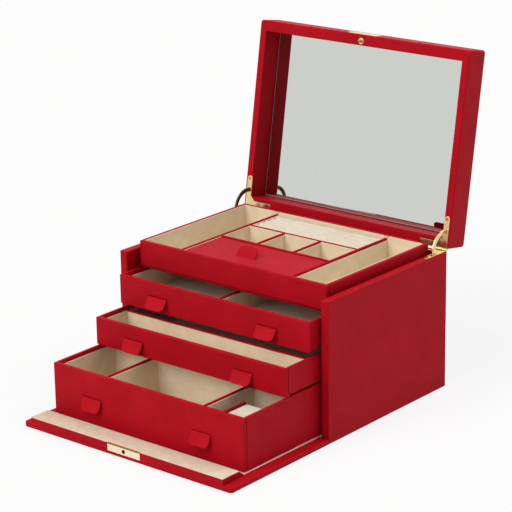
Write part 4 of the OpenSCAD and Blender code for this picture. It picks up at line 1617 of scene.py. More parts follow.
    def add_fillers(self, linings: Shape, edge_x: float, cover: Box, ledge_z: float) -> None:
        """Adds the suede beside the cover and at the ends of the dividers.

        Args:
            linings: Shape to add to.
            edge_x: Inner face of the right lengthwise divider.
            cover: The tray cover's box.
            ledge_z: Height of the ledge's underside.
        """
        slack, lap, thick = self.filler_slack, self.filler_lap, self.lining.thickness
        top, back = self.column_top - self.hidden_drop, self.inner.high.y - slack
        beside = Box.spanning(
            cover.high.x + self.strip_gap, cover.low.y, ledge_z,
            edge_x - slack, self.cover_y + lap / 2, top,
        )
        behind = Box.spanning(
            edge_x - lap, back - thick, self.column_top - self.filler_depth,
            edge_x + self.divider_t + lap, back, self.rim - self.wall_drop - slack,
        )
        fillers = [(beside, self.strip_edge), (behind, self.filler_edge)]
        for y in (self.cover_y, self.ring_y - self.divider_t):
            stub = Box.spanning(
                edge_x - slack - thick, y - lap, self.floor_z + self.stub_foot, edge_x - slack,
                y + self.divider_t + lap, top,
            )
            fillers.append((stub, self.filler_edge))
        for box, edge in fillers:
            linings.add(both_sides(soft_box(box, edge)))

    def roll(self, box: Box) -> Shape:
        """One ring roll: an upright pad with a round crown, its ends tucked in.

        Args:
            box: Space of the roll.

        Returns:
            The closed shape.
        """
        radius, y, base = (box.high.y - box.low.y) / 2, box.centre.y, box.low.z
        crown, spans = box.high.z - radius, 12
        profile = [(y - radius, base), (y + radius, base)] + arc((y, crown), radius, 0, 180, spans)
        stations = [0.0, 0.12, 0.35, 0.65, 1.0]
        places = [box.low.x + self.roll_end * s for s in stations]
        places += [box.low.x + (box.high.x - box.low.x) * k / spans for k in range(1, spans)]
        places += [box.high.x - self.roll_end * s for s in reversed(stations)]
        rings = []
        for x in places:
            near = min(x - box.low.x, box.high.x - x) / self.roll_end
            tuck = math.sqrt(max(0.0, 1 - (1 - min(1.0, near)) ** 2))
            shrink = self.roll_end * (1 - tuck)
            wave = self.roll_wave * math.sin(x * self.roll_wave_turn + y)
            pinch = (radius - self.roll_pinch * shrink) / radius
            points = [(y + (py - y) * pinch, pz if pz == base else pz - shrink + wave) for py, pz in profile]
            rings.append([Vector((x, py, pz)) for py, pz in points])
        return loft(rings)

    def build_rolls(self) -> None:
        """Builds the bed of ring rolls."""
        bed, end = Box.of("ring_rolls"), self.lining.thickness
        pitch = (bed.high.y - bed.low.y + self.roll_gap) / self.rolls
        space = bed.with_face(0, bed.low.x + end, bed.high.x - end)
        space = space.with_face(2, bed.low.z + self.lining.thickness + self.lining.floor_crown)
        rolls, side = Shape(), end + self.roll_side
        for i in range(self.rolls):
            low = bed.low.y + i * pitch
            near = low + (side if i == 0 else 0.0)
            far = low + pitch - self.roll_gap - (side if i == self.rolls - 1 else 0.0)
            rolls.add(self.roll(space.with_face(1, near + self.roll_slack, far - self.roll_slack)))
        made = piece("ring_rolls_velvet", rolls, Body.CASE, ROLL_VELVET, "ring_rolls")


@dataclass
class TrayCover:
    """Hinged leather flap over the front of the tray, with a standing tab."""

    corner: float = 1.0
    edge: float = 0.9
    under_edge: float = 0.5
    wave: float = 0.06
    slit_y: float = 28.2
    tab_x: float = -4.0
    tab_w: float = 29.0
    tab_len: float = 14.5
    lean: float = 40.0
    slit_gap: float = 0.12
    slit_reach: float = 6.0

    def build(self) -> None:
        """Builds the flap, its slit and its tab."""
        box = Box.of("tray_cover")
        tab = PullTab(self.tab_w, self.tab_len, corner=6.5, root=1.1, bend_radius=0.5, bow=0.7)
        root = Vector((self.tab_x, box.low.y + self.slit_y, box.high.z))
        angle = math.radians(self.lean)
        leaf = Vector((0.0, math.sin(angle), math.cos(angle)))
        half, gap = self.tab_w / 2 + self.slit_gap, tab.thickness / 2 + self.slit_gap
        slit = soft_box(Box.spanning(-half, -gap, -self.slit_reach, half, gap, self.slit_reach), CRISP)
        slit = slit.moved(Matrix.Translation(root) @ Matrix.Rotation(-angle, 4, "X"))
        board = slab(box, [self.corner] * 4, self.edge, self.under_edge, arcs=BOARD_ARCS)
        cover = carved(board, [slit]).hand_made(self.wave)
        piece("tray_cover_leather", cover, Body.COVER, PAINTED_LIGHT_COVER_LEATHER, "tray_cover")
        piece(
            "tray_cover_tab_leather", tab.shape(leaf, leaf, root), Body.COVER, PAINTED_LIGHT_TAB_LEATHER, "tray_cover_tab"
        )


# ==== Lid ====


@dataclass
class Lid:
    """Mitred leather lid with a mirror, drawn closed and swung open about the hinge pin."""

    hinge: QuadrantHinge
    # How far the lid's front stands out over the side panels' front edges.
    overhang: float = 6.9
    height: float = 35.3
    side_t: float = 10.2
    front_t: float = 13.8
    back_t: float = 13.0
    top_t: float = 3.8
    board_t: float = 1.5
    board_edge: float = 0.2
    mirror_t: float = 2.5
    mirror_gap: float = 0.9
    mirror_bevel: float = 0.9
    mirror_bevel_drop: float = 0.5
    mirror_corner: float = 0.2
    mirror_edge: float = 0.03
    mirror_step: float = 60.0
    corner: float = 3.6
    rim_edge: float = 1.7
    inner_edge: float = 1.4
    top_edge: float = 3.0
    top_wave: float = 0.08
    seam: float = 0.5
    seam_squeeze: float = 0.22
    plate_w: float = 44.0
    plate_h: float = 13.0
    plate_r: float = 2.0
    plate_in: float = 1.0
    plate_t: float = 1.2
    plate_edge: float = 0.45
    plate_foot: float = 0.1
    stud_back: float = 8.3
    stud_d: float = 3.4
    stud_len: float = 6.0
    collar_d: float = 8.0
    collar_t: float = 1.2
    collar_proud: float = 0.5

    def __post_init__(self) -> None:
        """Works out the lid's plan and its opening turn."""
        self.half = self.hinge.side_x
        self.rim = self.hinge.lid_rim
        self.front_y = Box.of("side_panel_right").low.y - self.overhang
        self.wall_top = self.rim + self.height - self.top_t
        self.inner_half = self.half - self.side_t
        self.inner_front, self.inner_back = self.front_y + self.front_t, self.hinge.back_y - self.back_t
        pin = Vector((0.0, self.hinge.pin_y, self.hinge.pin_z))
        turn = Matrix.Rotation(-math.radians(self.hinge.lid_open), 4, "X")
        self.opened = Matrix.Translation(pin) @ turn @ Matrix.Translation(-pin)

    def section(self, depth: float) -> list[Point2]:
        """Section of a wall: share of its thickness from the outside, and height.

        Args:
            depth: Wall thickness that the edge radii are worked out for.

        Returns:
            The counterclockwise section.
        """
        low, high, seam = self.rim, self.wall_top, self.seam
        outer, inner = self.rim_edge, self.inner_edge
        points = arc((outer, low + outer), outer, 180, 270, 5)
        points += arc((depth - inner, low + inner), inner, 270, 360, 4)
        points += arc((depth - seam, high - seam), seam, 0, 90, 2)
        points += arc((seam, high - seam), seam, 90, 180, 2)
        return [(u / depth, z) for u, z in points]

    def wall(self, start: tuple[Vector, Vector], end: tuple[Vector, Vector], depth: float) -> Shape:
        """One wall between two mitres.

        Args:
            start: Outer and inner corner at its start.
            end: Outer and inner corner at its end.
            depth: Its thickness.

        Returns:
            The closed shape.
        """
        (outer_a, inner_a), (outer_b, inner_b) = start, end
        along = (outer_b - outer_a).normalized()
        across = Vector((-along.y, along.x))
        if across.dot(inner_a - outer_a) < 0:
            across = -across
        # Half a corner's spans, and how far the inner edge moves along for each.
        radius, spans, creep = self.corner, 5, 0.12
        turns = [math.pi / 4 * k / spans for k in range(spans)]

        def bend(corner: Vector, way: Vector) -> list[Vector]:
            """Rounds half of a corner, up to its straight side.

            Args:
                corner: The sharp corner.
                way: Direction from it along the wall.

            Returns:
                The points.
            """
            spokes = [way * math.sin(math.pi / 4 - t) + across * math.cos(math.pi / 4 - t) for t in turns]
            return [corner + (way + across) * radius - spoke * radius for spoke in spokes]

        stations = [(p, inner_a + along * creep * k) for k, p in enumerate(bend(outer_a, along))]
        far = [(p, inner_b - along * creep * k) for k, p in enumerate(bend(outer_b, -along))]
        out0, out1 = outer_a + along * radius, outer_b - along * radius
        in0, in1 = inner_a + along * creep * spans, inner_b - along * creep * spans
        steps = max(2, int((out1 - out0).length / BOARD_STEP))
        stations += [(out0.lerp(out1, k / steps), in0.lerp(in1, k / steps)) for k in range(steps + 1)]
        stations += reversed(far)
        section, middle, rings = self.section(depth), (self.rim + self.wall_top) / 2, []
        for i, (outer, inner) in enumerate(stations):
            squeeze = self.seam_squeeze if i in (0, len(stations) - 1) else 0.0
            near, high = squeeze / depth, squeeze / (self.wall_top - middle)
            ring = []
            for f, z in section:
                spot = outer.lerp(inner, f * (1 - 2 * near) + near)
                ring.append(Vector((spot.x, spot.y, z + (middle - z) * high)))
            rings.append(ring)
        return loft(rings)

    def corners(self) -> list[tuple[Vector, Vector]]:
        """Works out the plan corners at each mitre.

        Returns:
            Outer and inner corner at the front left, front right, back right and back left.
        """
        places = [(-1, self.front_y, self.inner_front), (1, self.front_y, self.inner_front)]
        places += [(1, self.hinge.back_y, self.inner_back), (-1, self.hinge.back_y, self.inner_back)]
        return [(Vector((s * self.half, a)), Vector((s * self.inner_half, b))) for s, a, b in places]

    def add(self, name: str, shape: Shape, finish: Finish, *nodes: str) -> None:
        """Opens a shape that was drawn closed and makes its piece."""
        piece(name, shape.moved(self.opened), Body.LID, finish, *nodes)

    def build(self) -> None:
        """Builds the lid's walls, top, mirror, hinge leaves and lock pieces."""
        front_left, front_right, back_right, back_left = self.corners()
        cuts = self.hinge.lid_cuts()
        front = self.wall(front_left, front_right, self.front_t).hand_made()
        right = carved(self.wall(front_right, back_right, self.side_t).hand_made(), cuts)
        back = self.wall(back_right, back_left, self.back_t).hand_made()
        back = carved(back, cuts + [c.moved(MIRROR_X) for c in cuts])
        self.add("lid_wall_front_leather", front, RED_LEATHER, "lid_wall_front")
        self.add("lid_wall_right_leather", right, RED_LEATHER, "lid_wall_right")
        self.add("lid_wall_left_leather", right.moved(MIRROR_X), RED_LEATHER, "lid_wall_left")
        self.add("lid_wall_back_leather", back, RED_LEATHER, "lid_wall_back")
        top = Box.spanning(
            -self.half, self.front_y, self.wall_top, self.half, self.hinge.back_y, self.wall_top + self.top_t
        )
        panel = slab(top, [self.corner] * 4, self.top_edge, self.seam, arcs=5).hand_made(self.top_wave)
        self.add("lid_top_leather", panel, RED_LEATHER, "lid_top")
        self.build_mirror()
        self.build_hinge()
        self.build_lock()

    def build_mirror(self) -> None:
        """Builds the mirror with its ground bevel, and the board behind it."""
        gap, inwards, sharp = self.mirror_gap, self.mirror_bevel, 0.02
        x, y0, y1 = self.inner_half - gap, self.inner_front + gap, self.inner_back - gap
        board_z = self.wall_top - self.board_t
        glass_z = board_z - self.mirror_t
        edge_z = glass_z + self.mirror_bevel_drop
        board = soft_box(Box.spanning(-x, y0, board_z, x, y1, self.wall_top), self.board_edge)
        self.add("mirror_backing_board", board, BOARD, "mirror_board")
        body = soft_box(Box.spanning(-x, y0, edge_z, x, y1, board_z), CRISP)
        outer = rounded_rectangle(-x, y0, x, y1, [self.mirror_corner] * 4, 2)
        levels = ((sharp / 2, edge_z), (inwards, glass_z + sharp))
        rings = [[Vector((p.x, p.y, z)) for p in inset(outer, by)] for by, z in levels]
        self.add("mirror_bevel", loft(rings, caps=False).add(body), MIRROR_BEVEL)
        face = Box.spanning(-x + inwards, y0 + inwards, glass_z, x - inwards, y1 - inwards, edge_z)
        self.add("mirror_glass", soft_box(face, self.mirror_edge, self.mirror_step, 1), MIRROR, "lid_mirror")

    def build_hinge(self) -> None:
        """Builds the lid's hinge leaves and their screws."""
        leaf = self.hinge.lid_leaf()
        self.add("lid_hinge_leaf_right_brass", leaf, BRASS, "lid_hinge_leaf_right")
        self.add("lid_hinge_leaf_left_brass", leaf.moved(MIRROR_X), BRASS, "lid_hinge_leaf_left")
        screws = both_sides(self.hinge.screw_set(self.rim, down=False))
        self.add("lid_leaf_screws_brass", screws, SCREW_BRASS, "lid_leaf_screws")

    def build_lock(self) -> None:
        """Builds the stud in the rim and the plate on the lid's front."""
        collar, stud = self.collar_d / 2, self.stud_d / 2
        proud, rise = -self.collar_proud, self.collar_t - self.collar_proud
        ring = turned([
            (AXIS, rise), (collar - 0.1, rise), (collar, rise - 0.1),
            (collar, proud + 0.25), (collar - 0.25, proud),
            (stud + 0.8, proud), (stud + 0.5, proud + 0.2), (AXIS, proud + 0.2),
        ], 32)
        end, waist, spans = -self.stud_len, stud * 0.72, 5
        turns = [math.pi / 2 * k / spans for k in reversed(range(spans))]
        dome = [(stud * math.cos(a), end + stud * (1 - math.sin(a))) for a in turns]
        neck = [(stud, end * 0.45), (waist, end * 0.4), (waist, -1.6), (stud, -1.2), (stud, 0.2)]
        pin = turned([(AXIS, end)] + dome + neck + [(AXIS, 0.2)])
        place = Matrix.Translation((0.0, self.front_y + self.stud_back, self.rim))
        self.add("lock_stud_collar_brass", ring.moved(place), BRASS, "lock_stud")
        self.add("lock_stud_pin_brass", pin.moved(place), ORANGE_BROWN_BRASS)
        half, near = self.plate_w / 2, self.plate_in
        flat = Box.spanning(-half, near, 0.0, half, near + self.plate_h, self.plate_t)
        face = slab(flat, [self.plate_r] * 4, self.plate_edge, self.plate_foot)
        upright = Matrix.Translation((0.0, self.front_y, self.rim)) @ UPRIGHT
        self.add("lid_lock_plate_brass", face.moved(upright), BRASS, "lid_lock_plate")


# ==== Fall front ====


@dataclass
class FallFront:
    """Front flap that lies down flat: leather board, lock block, suede lining and brass lock pieces."""

    corner: float = 4.5
    hinge_corner: float = 0.8
    edge: float = 1.3
    wrap_t: float = 0.9
    wrap_low: float = 0.5
    strip_t: float = 0.6
    strip_set: float = 0.3
    strip_in: float = 0.1
    strip_edge: float = 0.15
    block_edge: float = 0.35
    block_wave: float = 0.05
    slope_run: float = 9.5
    lining_trim: float = 0.1
    strike_hole: float = 5.0
    strike_corner: float = 0.5
    hole_len: float = 6.0
    bore_d: float = 5.4
    bore_len: float = 10.0
    bore_depth: float = 7.0
    lock_edge: float = 0.8
    lip_w: float = 0.9
    lip_t: float = 0.12
    lip_set: float = 1.5
    edge_in: float = 0.3
    keyhole_d: float = 3.0
    keyhole_len: float = 3.6
    keyhole_w: float = 1.5
    keyhole_edge: float = 0.35
    plate_r: float = 2.0
    plate_edge: float = 0.3
    plate_foot: float = 0.1
    lining_corner: float = 0.6
    lining_edge: float = 0.45
    lining_crown: float = 0.25
    wave: float = 0.06
    # Clearance round what is let into the flap, and how far a cutter stands clear of what it cuts.
    fit: float = 0.06
    clear: float = 1.0

    def build(self) -> None:
        """Builds the flap's leather, suede and brass."""
        board, block = Box.of("fall_front"), Box.of("lock_block")
        strike, lock = Box.of("strike_plate"), Box.of("lock_case")
        keyhole, lining = Box.of("keyhole_plate"), Box.of("fall_front_lining")
        self.front, self.block_top = board.low.y, block.high.z
        radii = [self.corner, self.corner, self.hinge_corner, self.hinge_corner]
        flap = slab(board, radii, self.edge, self.edge, arcs=BOARD_ARCS)
        wrap_space = Box.spanning(
            block.low.x - self.fit, self.front - self.clear, -self.clear, block.high.x + self.fit,
            self.front + self.wrap_t, board.high.z + self.clear,
        )
        pockets = [
            soft_box(self.grown(strike, 1, self.front - 2 * self.clear), self.edge_in),
            soft_box(self.grown(lock, 1, self.front), self.edge_in),
            slab(self.grown(keyhole, 2, -self.clear), [self.plate_r] * 4, self.plate_foot, self.plate_foot),
        ]
        flap = carved(flap, [soft_box(wrap_space, CRISP)] + pockets).hand_made(self.wave)
        piece("fall_front_leather", flap, Body.FALL, RED_LEATHER, "fall_front")
        self.build_block(board, block, pockets)
        trimmed = lining.with_face(0, lining.low.x + self.lining_trim, lining.high.x - self.lining_trim)
        corners = [self.lining_corner] * 4
        cover = slab(trimmed, corners, self.lining_edge, self.plate_foot, self.lining_crown)
        piece("fall_front_lining_suede", cover, Body.FALL, FALL_SUEDE, "fall_front_lining")
        self.build_strike(strike, lock)
        self.build_keyhole(keyhole)

    def grown(self, box: Box, axis: int, low: float) -> Box:
        """A box with clearance all round and its low face along one axis moved."""
        grow = Vector([self.fit] * 3)
        return Box(box.low - grow, box.high + grow).with_face(axis, low)

    def build_block(self, board: Box, block: Box, pockets: Sequence[Shape]) -> None:
        """Builds the lock block's leather and its suede cover.

        Args:
            board: The flap's box.
            block: The block's box.
            pockets: Pockets of the lock pieces.
        """
        low, top, rear = board.high.z, block.high.z - self.strip_t, block.high.y
        shoulder = rear - self.slope_run
        foot = rear - self.slope_run * self.strip_t / (block.high.z - low)
        face = self.front + self.wrap_t
        # Sizes of the turned corner, and the hair that keeps its leather off the suede.
        turn, soft, hair = 0.9, 0.3, 0.02
        profile = [
            (self.front, self.wrap_low + turn), (self.front + soft, self.wrap_low + 0.25),
            (face, self.wrap_low), (face, low + hair), (foot - 0.4, low + hair), (shoulder - 0.2, top),
            (self.front + turn, top), (self.front + soft, top - 0.2), (self.front, top - turn),
        ]
        body = bar_along_x(profile, block.low.x, block.high.x, self.block_edge)
        body = carved(body, pockets).hand_made(self.block_wave)
        piece("lock_block_leather", body, Body.FALL, RED_LEATHER, "lock_block")
        near, lift, bevel = self.front + self.strip_set, 0.03, 0.25
        strip = [
            (near, top + lift), (shoulder - bevel, top + lift), (foot - 0.35, low + lift),
            (rear - 0.05, low + lift), (shoulder, block.high.z), (near + bevel, block.high.z),
            (near, block.high.z - 0.2),
        ]
        inwards = self.strip_in
        suede = bar_along_x(strip, block.low.x + inwards, block.high.x - inwards, self.strip_edge)
        piece("lock_block_suede", suede, Body.FALL, FALL_SUEDE)

    def build_strike(self, strike: Box, lock: Box) -> None:
        """Builds the strike plate, its folded lip and the lock case behind it.

        Args:
            strike: The strike plate's box.
            lock: The lock case's box.
        """
        centre, thick = strike.centre, strike.high.y - strike.low.y
        flat = Box.spanning(strike.low.x, strike.low.z, 0.0, strike.high.x, strike.high.z, thick)
        face = slab(flat, [self.strike_corner] * 4, self.plate_edge, self.plate_foot)
        hole = rod(self.strike_hole / 2, self.hole_len, BORE_EDGE).moved(
            Matrix.Translation((centre.x, centre.z, -self.hole_len / 2))
        )
        face = carved(face, [hole]).moved(Matrix.Translation((0.0, strike.high.y, 0.0)) @ UPRIGHT)
        piece("strike_plate_brass", face, Body.FALL, PAINTED_REFLECTION_STRIKE_BRASS, "strike_plate")
        lip = Box.spanning(
            strike.low.x + self.lip_set, self.front - 0.05, strike.high.z - 0.15, strike.high.x,
            self.front + self.lip_w, self.block_top + self.lip_t,
        )
        piece("strike_plate_lip_brass", soft_box(lip, self.lip_t), Body.FALL, ORANGE_BROWN_BRASS)
        bore = rod(self.bore_d / 2, self.bore_len, self.edge_in)
        bore = bore.moved(Matrix.Translation((centre.x, lock.low.y + self.bore_depth, centre.z)) @ UPRIGHT)
        piece(
            "lock_case_brass", carved(soft_box(lock, self.lock_edge), [bore]), Body.FALL, DARK_BRASS,
            "lock_case",
        )

    def build_keyhole(self, keyhole: Box) -> None:
        """Builds the keyhole plate.

        Args:
            keyhole: The keyhole plate's box.
        """
        middle, half, below = keyhole.centre, self.keyhole_w / 2, -2 * self.clear
        round_hole = rod(self.keyhole_d / 2, self.hole_len, BORE_EDGE).moved(
            Matrix.Translation((middle.x, middle.y, below))
        )
        slot = Box.spanning(
            middle.x - half, middle.y - self.keyhole_len, below, middle.x + half, middle.y, 4.0
        )
        plain = slab(keyhole, [self.plate_r] * 4, self.plate_foot, self.keyhole_edge)
        holed = carved(plain, [round_hole, soft_box(slot, 0.2)])
        piece("keyhole_plate_brass", holed, Body.FALL, BRASS, "keyhole_plate")


# ==== Drawers ====


@dataclass
class Drawer:
    """Leather drawer: slit front board with two folded tabs, walls, floor, dividers and lined cells."""

    body: Body
    divider_node: str
    # Whether a cross divider cuts off the back, and the middle of each divider that splits the rest.
    crossed: bool = True
    columns: tuple[float, ...] = ()
    front_edge: float = 1.5
    front_wave: float = 0.1
    wall_t: float = 4.0
    wall_edge: float = 1.2
    wall_wave: float = 0.08
    lap: float = 0.2
    floor_edge: float = 0.4
    divider_t: float = 3.0
    divider_edge: float = 1.1
    divider_wave: float = 0.06
    tab_x: float = 84.0
    tab_w: float = 29.0
    tab_len: float = 15.4
    tab_t: float = 1.5
    tab_angle: float = 33.0
    tab_out: float = 0.9
    tab_in: float = 1.0
    slit_edge: float = 0.2
    slit_gap: float = 0.15
    slit_open: float = 0.8
    slit_reach: float = 2.0
    # How far the suede ends below the drawer's rim at the walls, and below the dividers' tops.
    wall_drop: float = 4.9
    lengthwise_bare: float = 2.2
    bare: float = 1.9
    lining: CellLining = field(default_factory=CellLining)

    def build(self) -> None:
        """Builds the drawer."""
        self.name = self.body.value
        self.front, self.walls, self.floor = [
            Box.of(f"{self.name}_{part}") for part in ("front", "walls", "floor")
        ]
        self.build_front()
        self.build_walls()
        self.build_inside()

    def build_front(self) -> None:
        """Builds the front board with its slits, and the folded tabs."""
        front = self.front
        slit_z = (front.low.z + front.high.z) / 2
        half, gap = self.tab_w / 2 + self.slit_gap, self.tab_t / 2 + self.slit_gap
        slits, tabs = [], Shape()
        angle = math.radians(self.tab_angle)
        leaf = Vector((0.0, -math.sin(angle), -math.cos(angle)))
        tab = PullTab(self.tab_w, self.tab_len, self.tab_t, root=front.high.y - front.low.y - self.tab_in)
        for x in (-self.tab_x, self.tab_x):
            mouth = Box.spanning(
                x - half, front.low.y - self.slit_reach, slit_z - gap,
                x + half, front.high.y + self.slit_reach, slit_z + gap + self.slit_open,
            )
            slits.append(soft_box(mouth, self.slit_edge))
            tabs.add(
                tab.shape(Vector((0.0, -1.0, 0.0)), leaf, Vector((x, front.low.y - self.tab_out, slit_z)))
            )
        board = soft_box(front, self.front_edge, BOARD_STEP, BOARD_ARCS).hand_made(self.front_wave)
        board = carved(board, slits)
        piece(f"{self.name}_front_leather", board, self.body, RED_LEATHER, f"{self.name}_front")
        piece(f"{self.name}_tabs_leather", tabs, self.body, PAINTED_LIGHT_TAB_LEATHER, f"{self.name}_tabs")

    def build_walls(self) -> None:
        """Builds the side and back walls and the floor board."""
        walls, inner_y = self.walls, self.walls.high.y - self.wall_t
        back = soft_box(walls.with_face(1, inner_y), self.wall_edge, BOARD_STEP).hand_made(self.wall_wave)
        side = walls.with_face(0, self.floor.high.x).with_face(1, high=inner_y + self.lap)
        side = soft_box(side, self.wall_edge, BOARD_STEP).hand_made(self.wall_wave)
        piece(
            f"{self.name}_walls_leather", both_sides(side).add(back), self.body, RED_LEATHER,
            f"{self.name}_walls",
        )
        board = soft_box(self.floor, self.floor_edge)
        piece(f"{self.name}_floor_board", board, self.body, LINING_LEATHER, f"{self.name}_floor")

    def build_inside(self) -> None:
        """Builds the dividers and lines every cell."""
        floor, walls, half = self.floor, self.walls, self.divider_t / 2
        inner = Box.spanning(
            floor.low.x, self.front.high.y, floor.high.z,
            floor.high.x, walls.high.y - self.wall_t, walls.high.z,
        )
        divider = Box.of(self.divider_node)
        low_space, drop = inner.with_face(2, high=divider.high.z), inner.high.z - divider.high.z
        crosses = [divider.high.y - half] if self.crossed else []
        rows = row_cells(crosses, inner, 1, self.divider_t)
        rails = Shape()
        for y in crosses:
            rails.add(self.rail(low_space.with_face(1, y - half, y + half)))
        for x in self.columns:
            far = min(rows[0].high.y + self.lap, inner.high.y)
            rails.add(self.rail(low_space.with_face(0, x - half, x + half).with_face(1, high=far)))
        piece(f"{self.name}_dividers_leather", rails, self.body, TURNED_LEATHER, self.divider_node)
        linings = Shape()
        for cell in row_cells(self.columns, rows[0], 0, self.divider_t) + rows[1:]:
            linings.add(self.lining.shape(cell, self.drops(cell, inner, drop)))
        piece(f"{self.name}_cell_linings", linings, self.body, CREAM_SUEDE)

    def drops(self, cell: Box, inner: Box, low: float) -> Sides:
        """How far a cell's lining ends below the rim on each side.

        Args:
            cell: The cell.
            inner: Bare space inside the drawer.
            low: How far the dividers end below the rim.

        Returns:
            The four drops.
        """
        return Sides(
            self.wall_drop if cell.low.x <= inner.low.x else low + self.lengthwise_bare,
            self.wall_drop if cell.high.x >= inner.high.x else low + self.bare,
            self.wall_drop if cell.low.y <= inner.low.y else low + self.bare,
            self.wall_drop if cell.high.y >= inner.high.y else low + self.bare,
        )

    def rail(self, box: Box) -> Shape:
        """One divider with a rounded top."""
        return soft_box(box, self.divider_edge).hand_made(self.divider_wave)


@dataclass
class WatchPillow:
    """Small padded pillow in the front cell of the bottom drawer, puffed up by cloth simulation."""

    inset: float = 0.7
    foot: float = 1.3
    edge: float = 1.8
    step: float = 9.0
    voxel: float = 4.0
    pressure: float = 4.0
    frames: int = 20
    reach: float = 1.4
    clearance: tuple[float, float, float] = (0.2, 0.2, 0.1)
    fill: float = 0.85
    crown: float = 0.9
    band_w: float = 3.2
    band_drop: float = 0.5
    band_lap: float = 0.2
    band_edge: float = 0.6

    def build(self) -> None:
        """Builds the pillow and the dark leather band along its left edge, which paints the shadow there."""
        box, margin = Box.of("watch_pillow"), Vector([self.inset] * 3)
        start = Box(box.low + margin, box.high - margin).with_face(2, box.low.z + self.foot)
        thing = make_object("watch_pillow_velvet", soft_box(start, self.edge, self.step))
        self.puff(thing, box)
        for polygon in thing.data.polygons:
            polygon.use_smooth = True
        fine = thing.modifiers.new("fine", "SUBSURF")
        fine.levels = fine.render_levels = 1
        dress(thing, Body.BOTTOM, PILLOW_VELVET, ["watch_pillow"])
        # Band of dark lining leather along the pillow's left edge: painted shade, standing in for the shadow
        # beside the pillow.
        band = Box.spanning(
            box.low.x - self.band_w, box.low.y, box.low.z + self.foot, box.low.x + self.band_lap, box.high.y,
            box.high.z - self.band_drop,
        )
        piece("watch_pillow_shadow_band_leather", soft_box(band, self.band_edge), Body.BOTTOM, LINING_LEATHER)

    def puff(self, thing: bpy.types.Object, box: Box) -> None:
        """Puffs the pillow with cloth pressure and keeps it inside its space.

        Args:
            thing: Pillow to puff.
            box: Space that it may fill.
        """
        mesh_step = thing.modifiers.new("remesh", "REMESH")
        mesh_step.mode, mesh_step.voxel_size = "VOXEL", self.voxel * MM
        bake_modifiers(thing)
        rest = [v.co.copy() for v in thing.data.vertices]
        cloth = thing.modifiers.new("puff", "CLOTH")
        cloth.settings.use_pressure = True
        cloth.settings.uniform_pressure_force = self.pressure
        cloth.settings.effector_weights.gravity = 0.0
        cloth.point_cache.frame_start, cloth.point_cache.frame_end = 1, self.frames
        scene = bpy.context.scene
        for step in range(1, self.frames + 1):
            scene.frame_set(step)
        bake_modifiers(thing)
        scene.frame_set(1)
        margin = Vector(self.clearance)
        low, high = (box.low + margin) * MM, (box.high - margin) * MM
        for vertex, was in zip(thing.data.vertices, rest):
            step = vertex.co - was
            if step.length > self.reach * MM:
                vertex.co = was + step.normalized() * self.reach * MM
            for a in range(3):
                vertex.co[a] = min(max(vertex.co[a], low[a]), high[a])


# ==== Studio ====


@dataclass(frozen=True)
class Lamp:
    """One broad soft lamp: its strength, how wide it looks in degrees, and where it shines from."""

    name: str
    strength: float
    angle: float
    source: tuple[float, float, float]

    def build(self) -> None:
        """Hangs the lamp."""
        lamp = bpy.data.lights.new(self.name, "SUN")
        lamp.energy, lamp.angle = self.strength, math.radians(self.angle)
        thing = bpy.data.objects.new(self.name, lamp)
        thing.rotation_euler = Vector(self.source).to_track_quat("Z", "Y").to_euler()
        bpy.context.scene.collection.objects.link(thing)


def seen_rays(tree: Tree) -> Socket:
    """Marks the rays that show the background, but not those that light the object by way of a mirror.

    Args:
        tree: Node tree to add to.

    Returns:
        A socket that is 1 for such rays and 0 for the others.
    """
    path = add_node(tree, "LightPath")
    seen = path.outputs["Is Camera Ray"]
    for kind in ("Is Transmission Ray", "Is Glossy Ray"):
        seen = add_node(tree, "Math", {0: seen, 1: path.outputs[kind]}, operation="MAXIMUM").outputs[0]
    direct = add_node(tree, "Math", {0: path.outputs["Diffuse Depth"], 1: 0.5}, operation="LESS_THAN")
    return add_node(tree, "Math", {0: seen, 1: direct.outputs[0]}, operation="MULTIPLY").outputs[0]


@dataclass(frozen=True)
class Laminate(Finish):
    """Matt white laminate of a table top, which shows white to the camera and keeps shadows."""

    name: str = "white_laminate_table"
    colour: str = "dfdedd"
    shade: str = "d9d8d6"
    white: float = 0.8
    cloud_mm: float = 300.0

    def shader(self, tree: Tree, place: Socket) -> bpy.types.Node:
        """Adds the laminate's nodes.

        Args:
            tree: Node tree to add to.
            place: Object coordinates.

        Returns:
            The shader node.
        """
        cloud = add_node(tree, "TexNoise", {"Vector": place, "Scale": per_mm(self.cloud_mm), "Detail": 2.0})
        tone = add_node(
            tree, "Mix",
            {"Factor": cloud.outputs["Fac"], MIX_A: linear(self.shade), MIX_B: linear(self.colour)},
            data_type="RGBA",
        )
        matt = add_node(tree, "BsdfDiffuse", {"Color": tone.outputs[MIX_OUT]})
        glow = add_node(tree, "Emission", {"Color": WHITE, "Strength": 1.0})
        share = add_node(tree, "Math", {0: seen_rays(tree), 1: self.white}, operation="MULTIPLY")
        return add_node(tree, "MixShader", {0: share.outputs[0], 1: matt.outputs[0], 2: glow.outputs[0]})


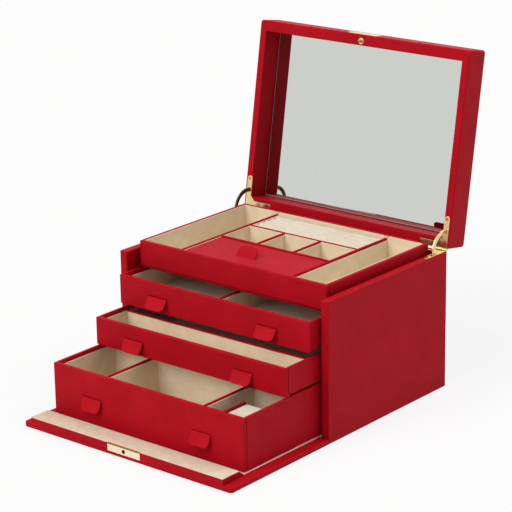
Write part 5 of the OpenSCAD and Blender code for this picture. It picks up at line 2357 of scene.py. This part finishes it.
@dataclass
class Studio:
    """White table, soft light and camera."""

    floor_radius: float = 12.0
    floor_drop: float = 0.05
    floor_sides: int = 96
    laminate: Laminate = Laminate()
    sky_light: float = 0.27
    lamps: tuple[Lamp, ...] = (
        Lamp("front_softbox", 1.38, 42.0, (-0.15, -0.82, 0.55)),
        Lamp("fill_softbox", 0.88, 45.0, (-0.3, -0.6, 1.0)),
        Lamp("top_softbox", 1.82, 50.0, (0.35, 0.45, 1.0)),
    )
    lens: float = 149.0
    sensor: float = 36.0
    far_clip: float = 50.0
    azimuth: float = 39.842
    elevation: float = 17.81
    roll: float = -0.919
    distance: float = 2518.12
    target: tuple[float, float, float] = (3.027, -54.095, 181.277)

    def build(self) -> None:
        """Builds the floor, the world, the lamps and the camera."""
        bpy.context.scene.view_settings.view_transform = "Standard"
        self.build_floor()
        self.build_world()
        for lamp in self.lamps:
            lamp.build()
        self.build_camera()

    def build_floor(self) -> None:
        """Lays the table top."""
        turns = [2 * math.pi * k / self.floor_sides for k in range(self.floor_sides)]
        radius, drop = self.floor_radius, self.floor_drop * MM
        rim = [(radius * math.cos(a), radius * math.sin(a), -drop) for a in turns]
        mesh = bpy.data.meshes.new("floor")
        mesh.from_pydata(rim, [], [tuple(range(self.floor_sides))])
        floor = bpy.data.objects.new("floor", mesh)
        bpy.context.scene.collection.objects.link(floor)
        floor.data.materials.append(self.laminate.material())

    def build_world(self) -> None:
        """Gives soft even light from all round, and white where the background is seen."""
        world = bpy.data.worlds.new("soft_studio")
        bpy.context.scene.world = world
        world.use_nodes = True
        tree = world.node_tree
        tree.nodes.clear()
        soft = add_node(tree, "Background", {"Color": WHITE, "Strength": self.sky_light})
        white = add_node(tree, "Background", {"Color": WHITE, "Strength": 1.0})
        mixed = add_node(tree, "MixShader", {0: seen_rays(tree), 1: soft.outputs[0], 2: white.outputs[0]})
        add_node(tree, "OutputWorld", {"Surface": mixed.outputs["Shader"]})

    def build_camera(self) -> None:
        """Places the camera for a square picture."""
        data = bpy.data.cameras.new("camera")
        data.sensor_fit, data.sensor_width, data.lens = "HORIZONTAL", self.sensor, self.lens
        data.clip_end = self.far_clip
        camera = bpy.data.objects.new("camera", data)
        az, el = math.radians(self.azimuth), math.radians(self.elevation)
        away = Vector((math.sin(az) * math.cos(el), -math.cos(az) * math.cos(el), math.sin(el)))
        target = Vector(self.target)
        spin = Matrix.Rotation(math.radians(self.roll), 3, "Z")
        turn = away.to_track_quat("Z", "Y").to_matrix() @ spin
        camera.matrix_world = Matrix.Translation((target + away * self.distance) * MM) @ turn.to_4x4()
        bpy.context.scene.collection.objects.link(camera)
        bpy.context.scene.camera = camera


def main() -> None:
    """Builds the case in order."""
    logging.basicConfig(level=logging.INFO, format="%(message)s")
    Studio().build()
    hinge = QuadrantHinge.placed()
    assemblies = (
        Carcass(hinge), hinge, Tray(), TrayCover(), Lid(hinge), FallFront(),
        Drawer(Body.TOP, "top_drawer_divider", crossed=False, columns=(0.0,), tab_angle=39.0, wall_drop=5.9),
        Drawer(Body.MIDDLE, "middle_drawer_divider"),
        Drawer(Body.BOTTOM, "bottom_drawer_dividers", columns=(-74.5, 74.5), tab_angle=25.0),
        WatchPillow(),
    )
    for assembly in assemblies:
        assembly.build()


if __name__ == "__main__":
    main()
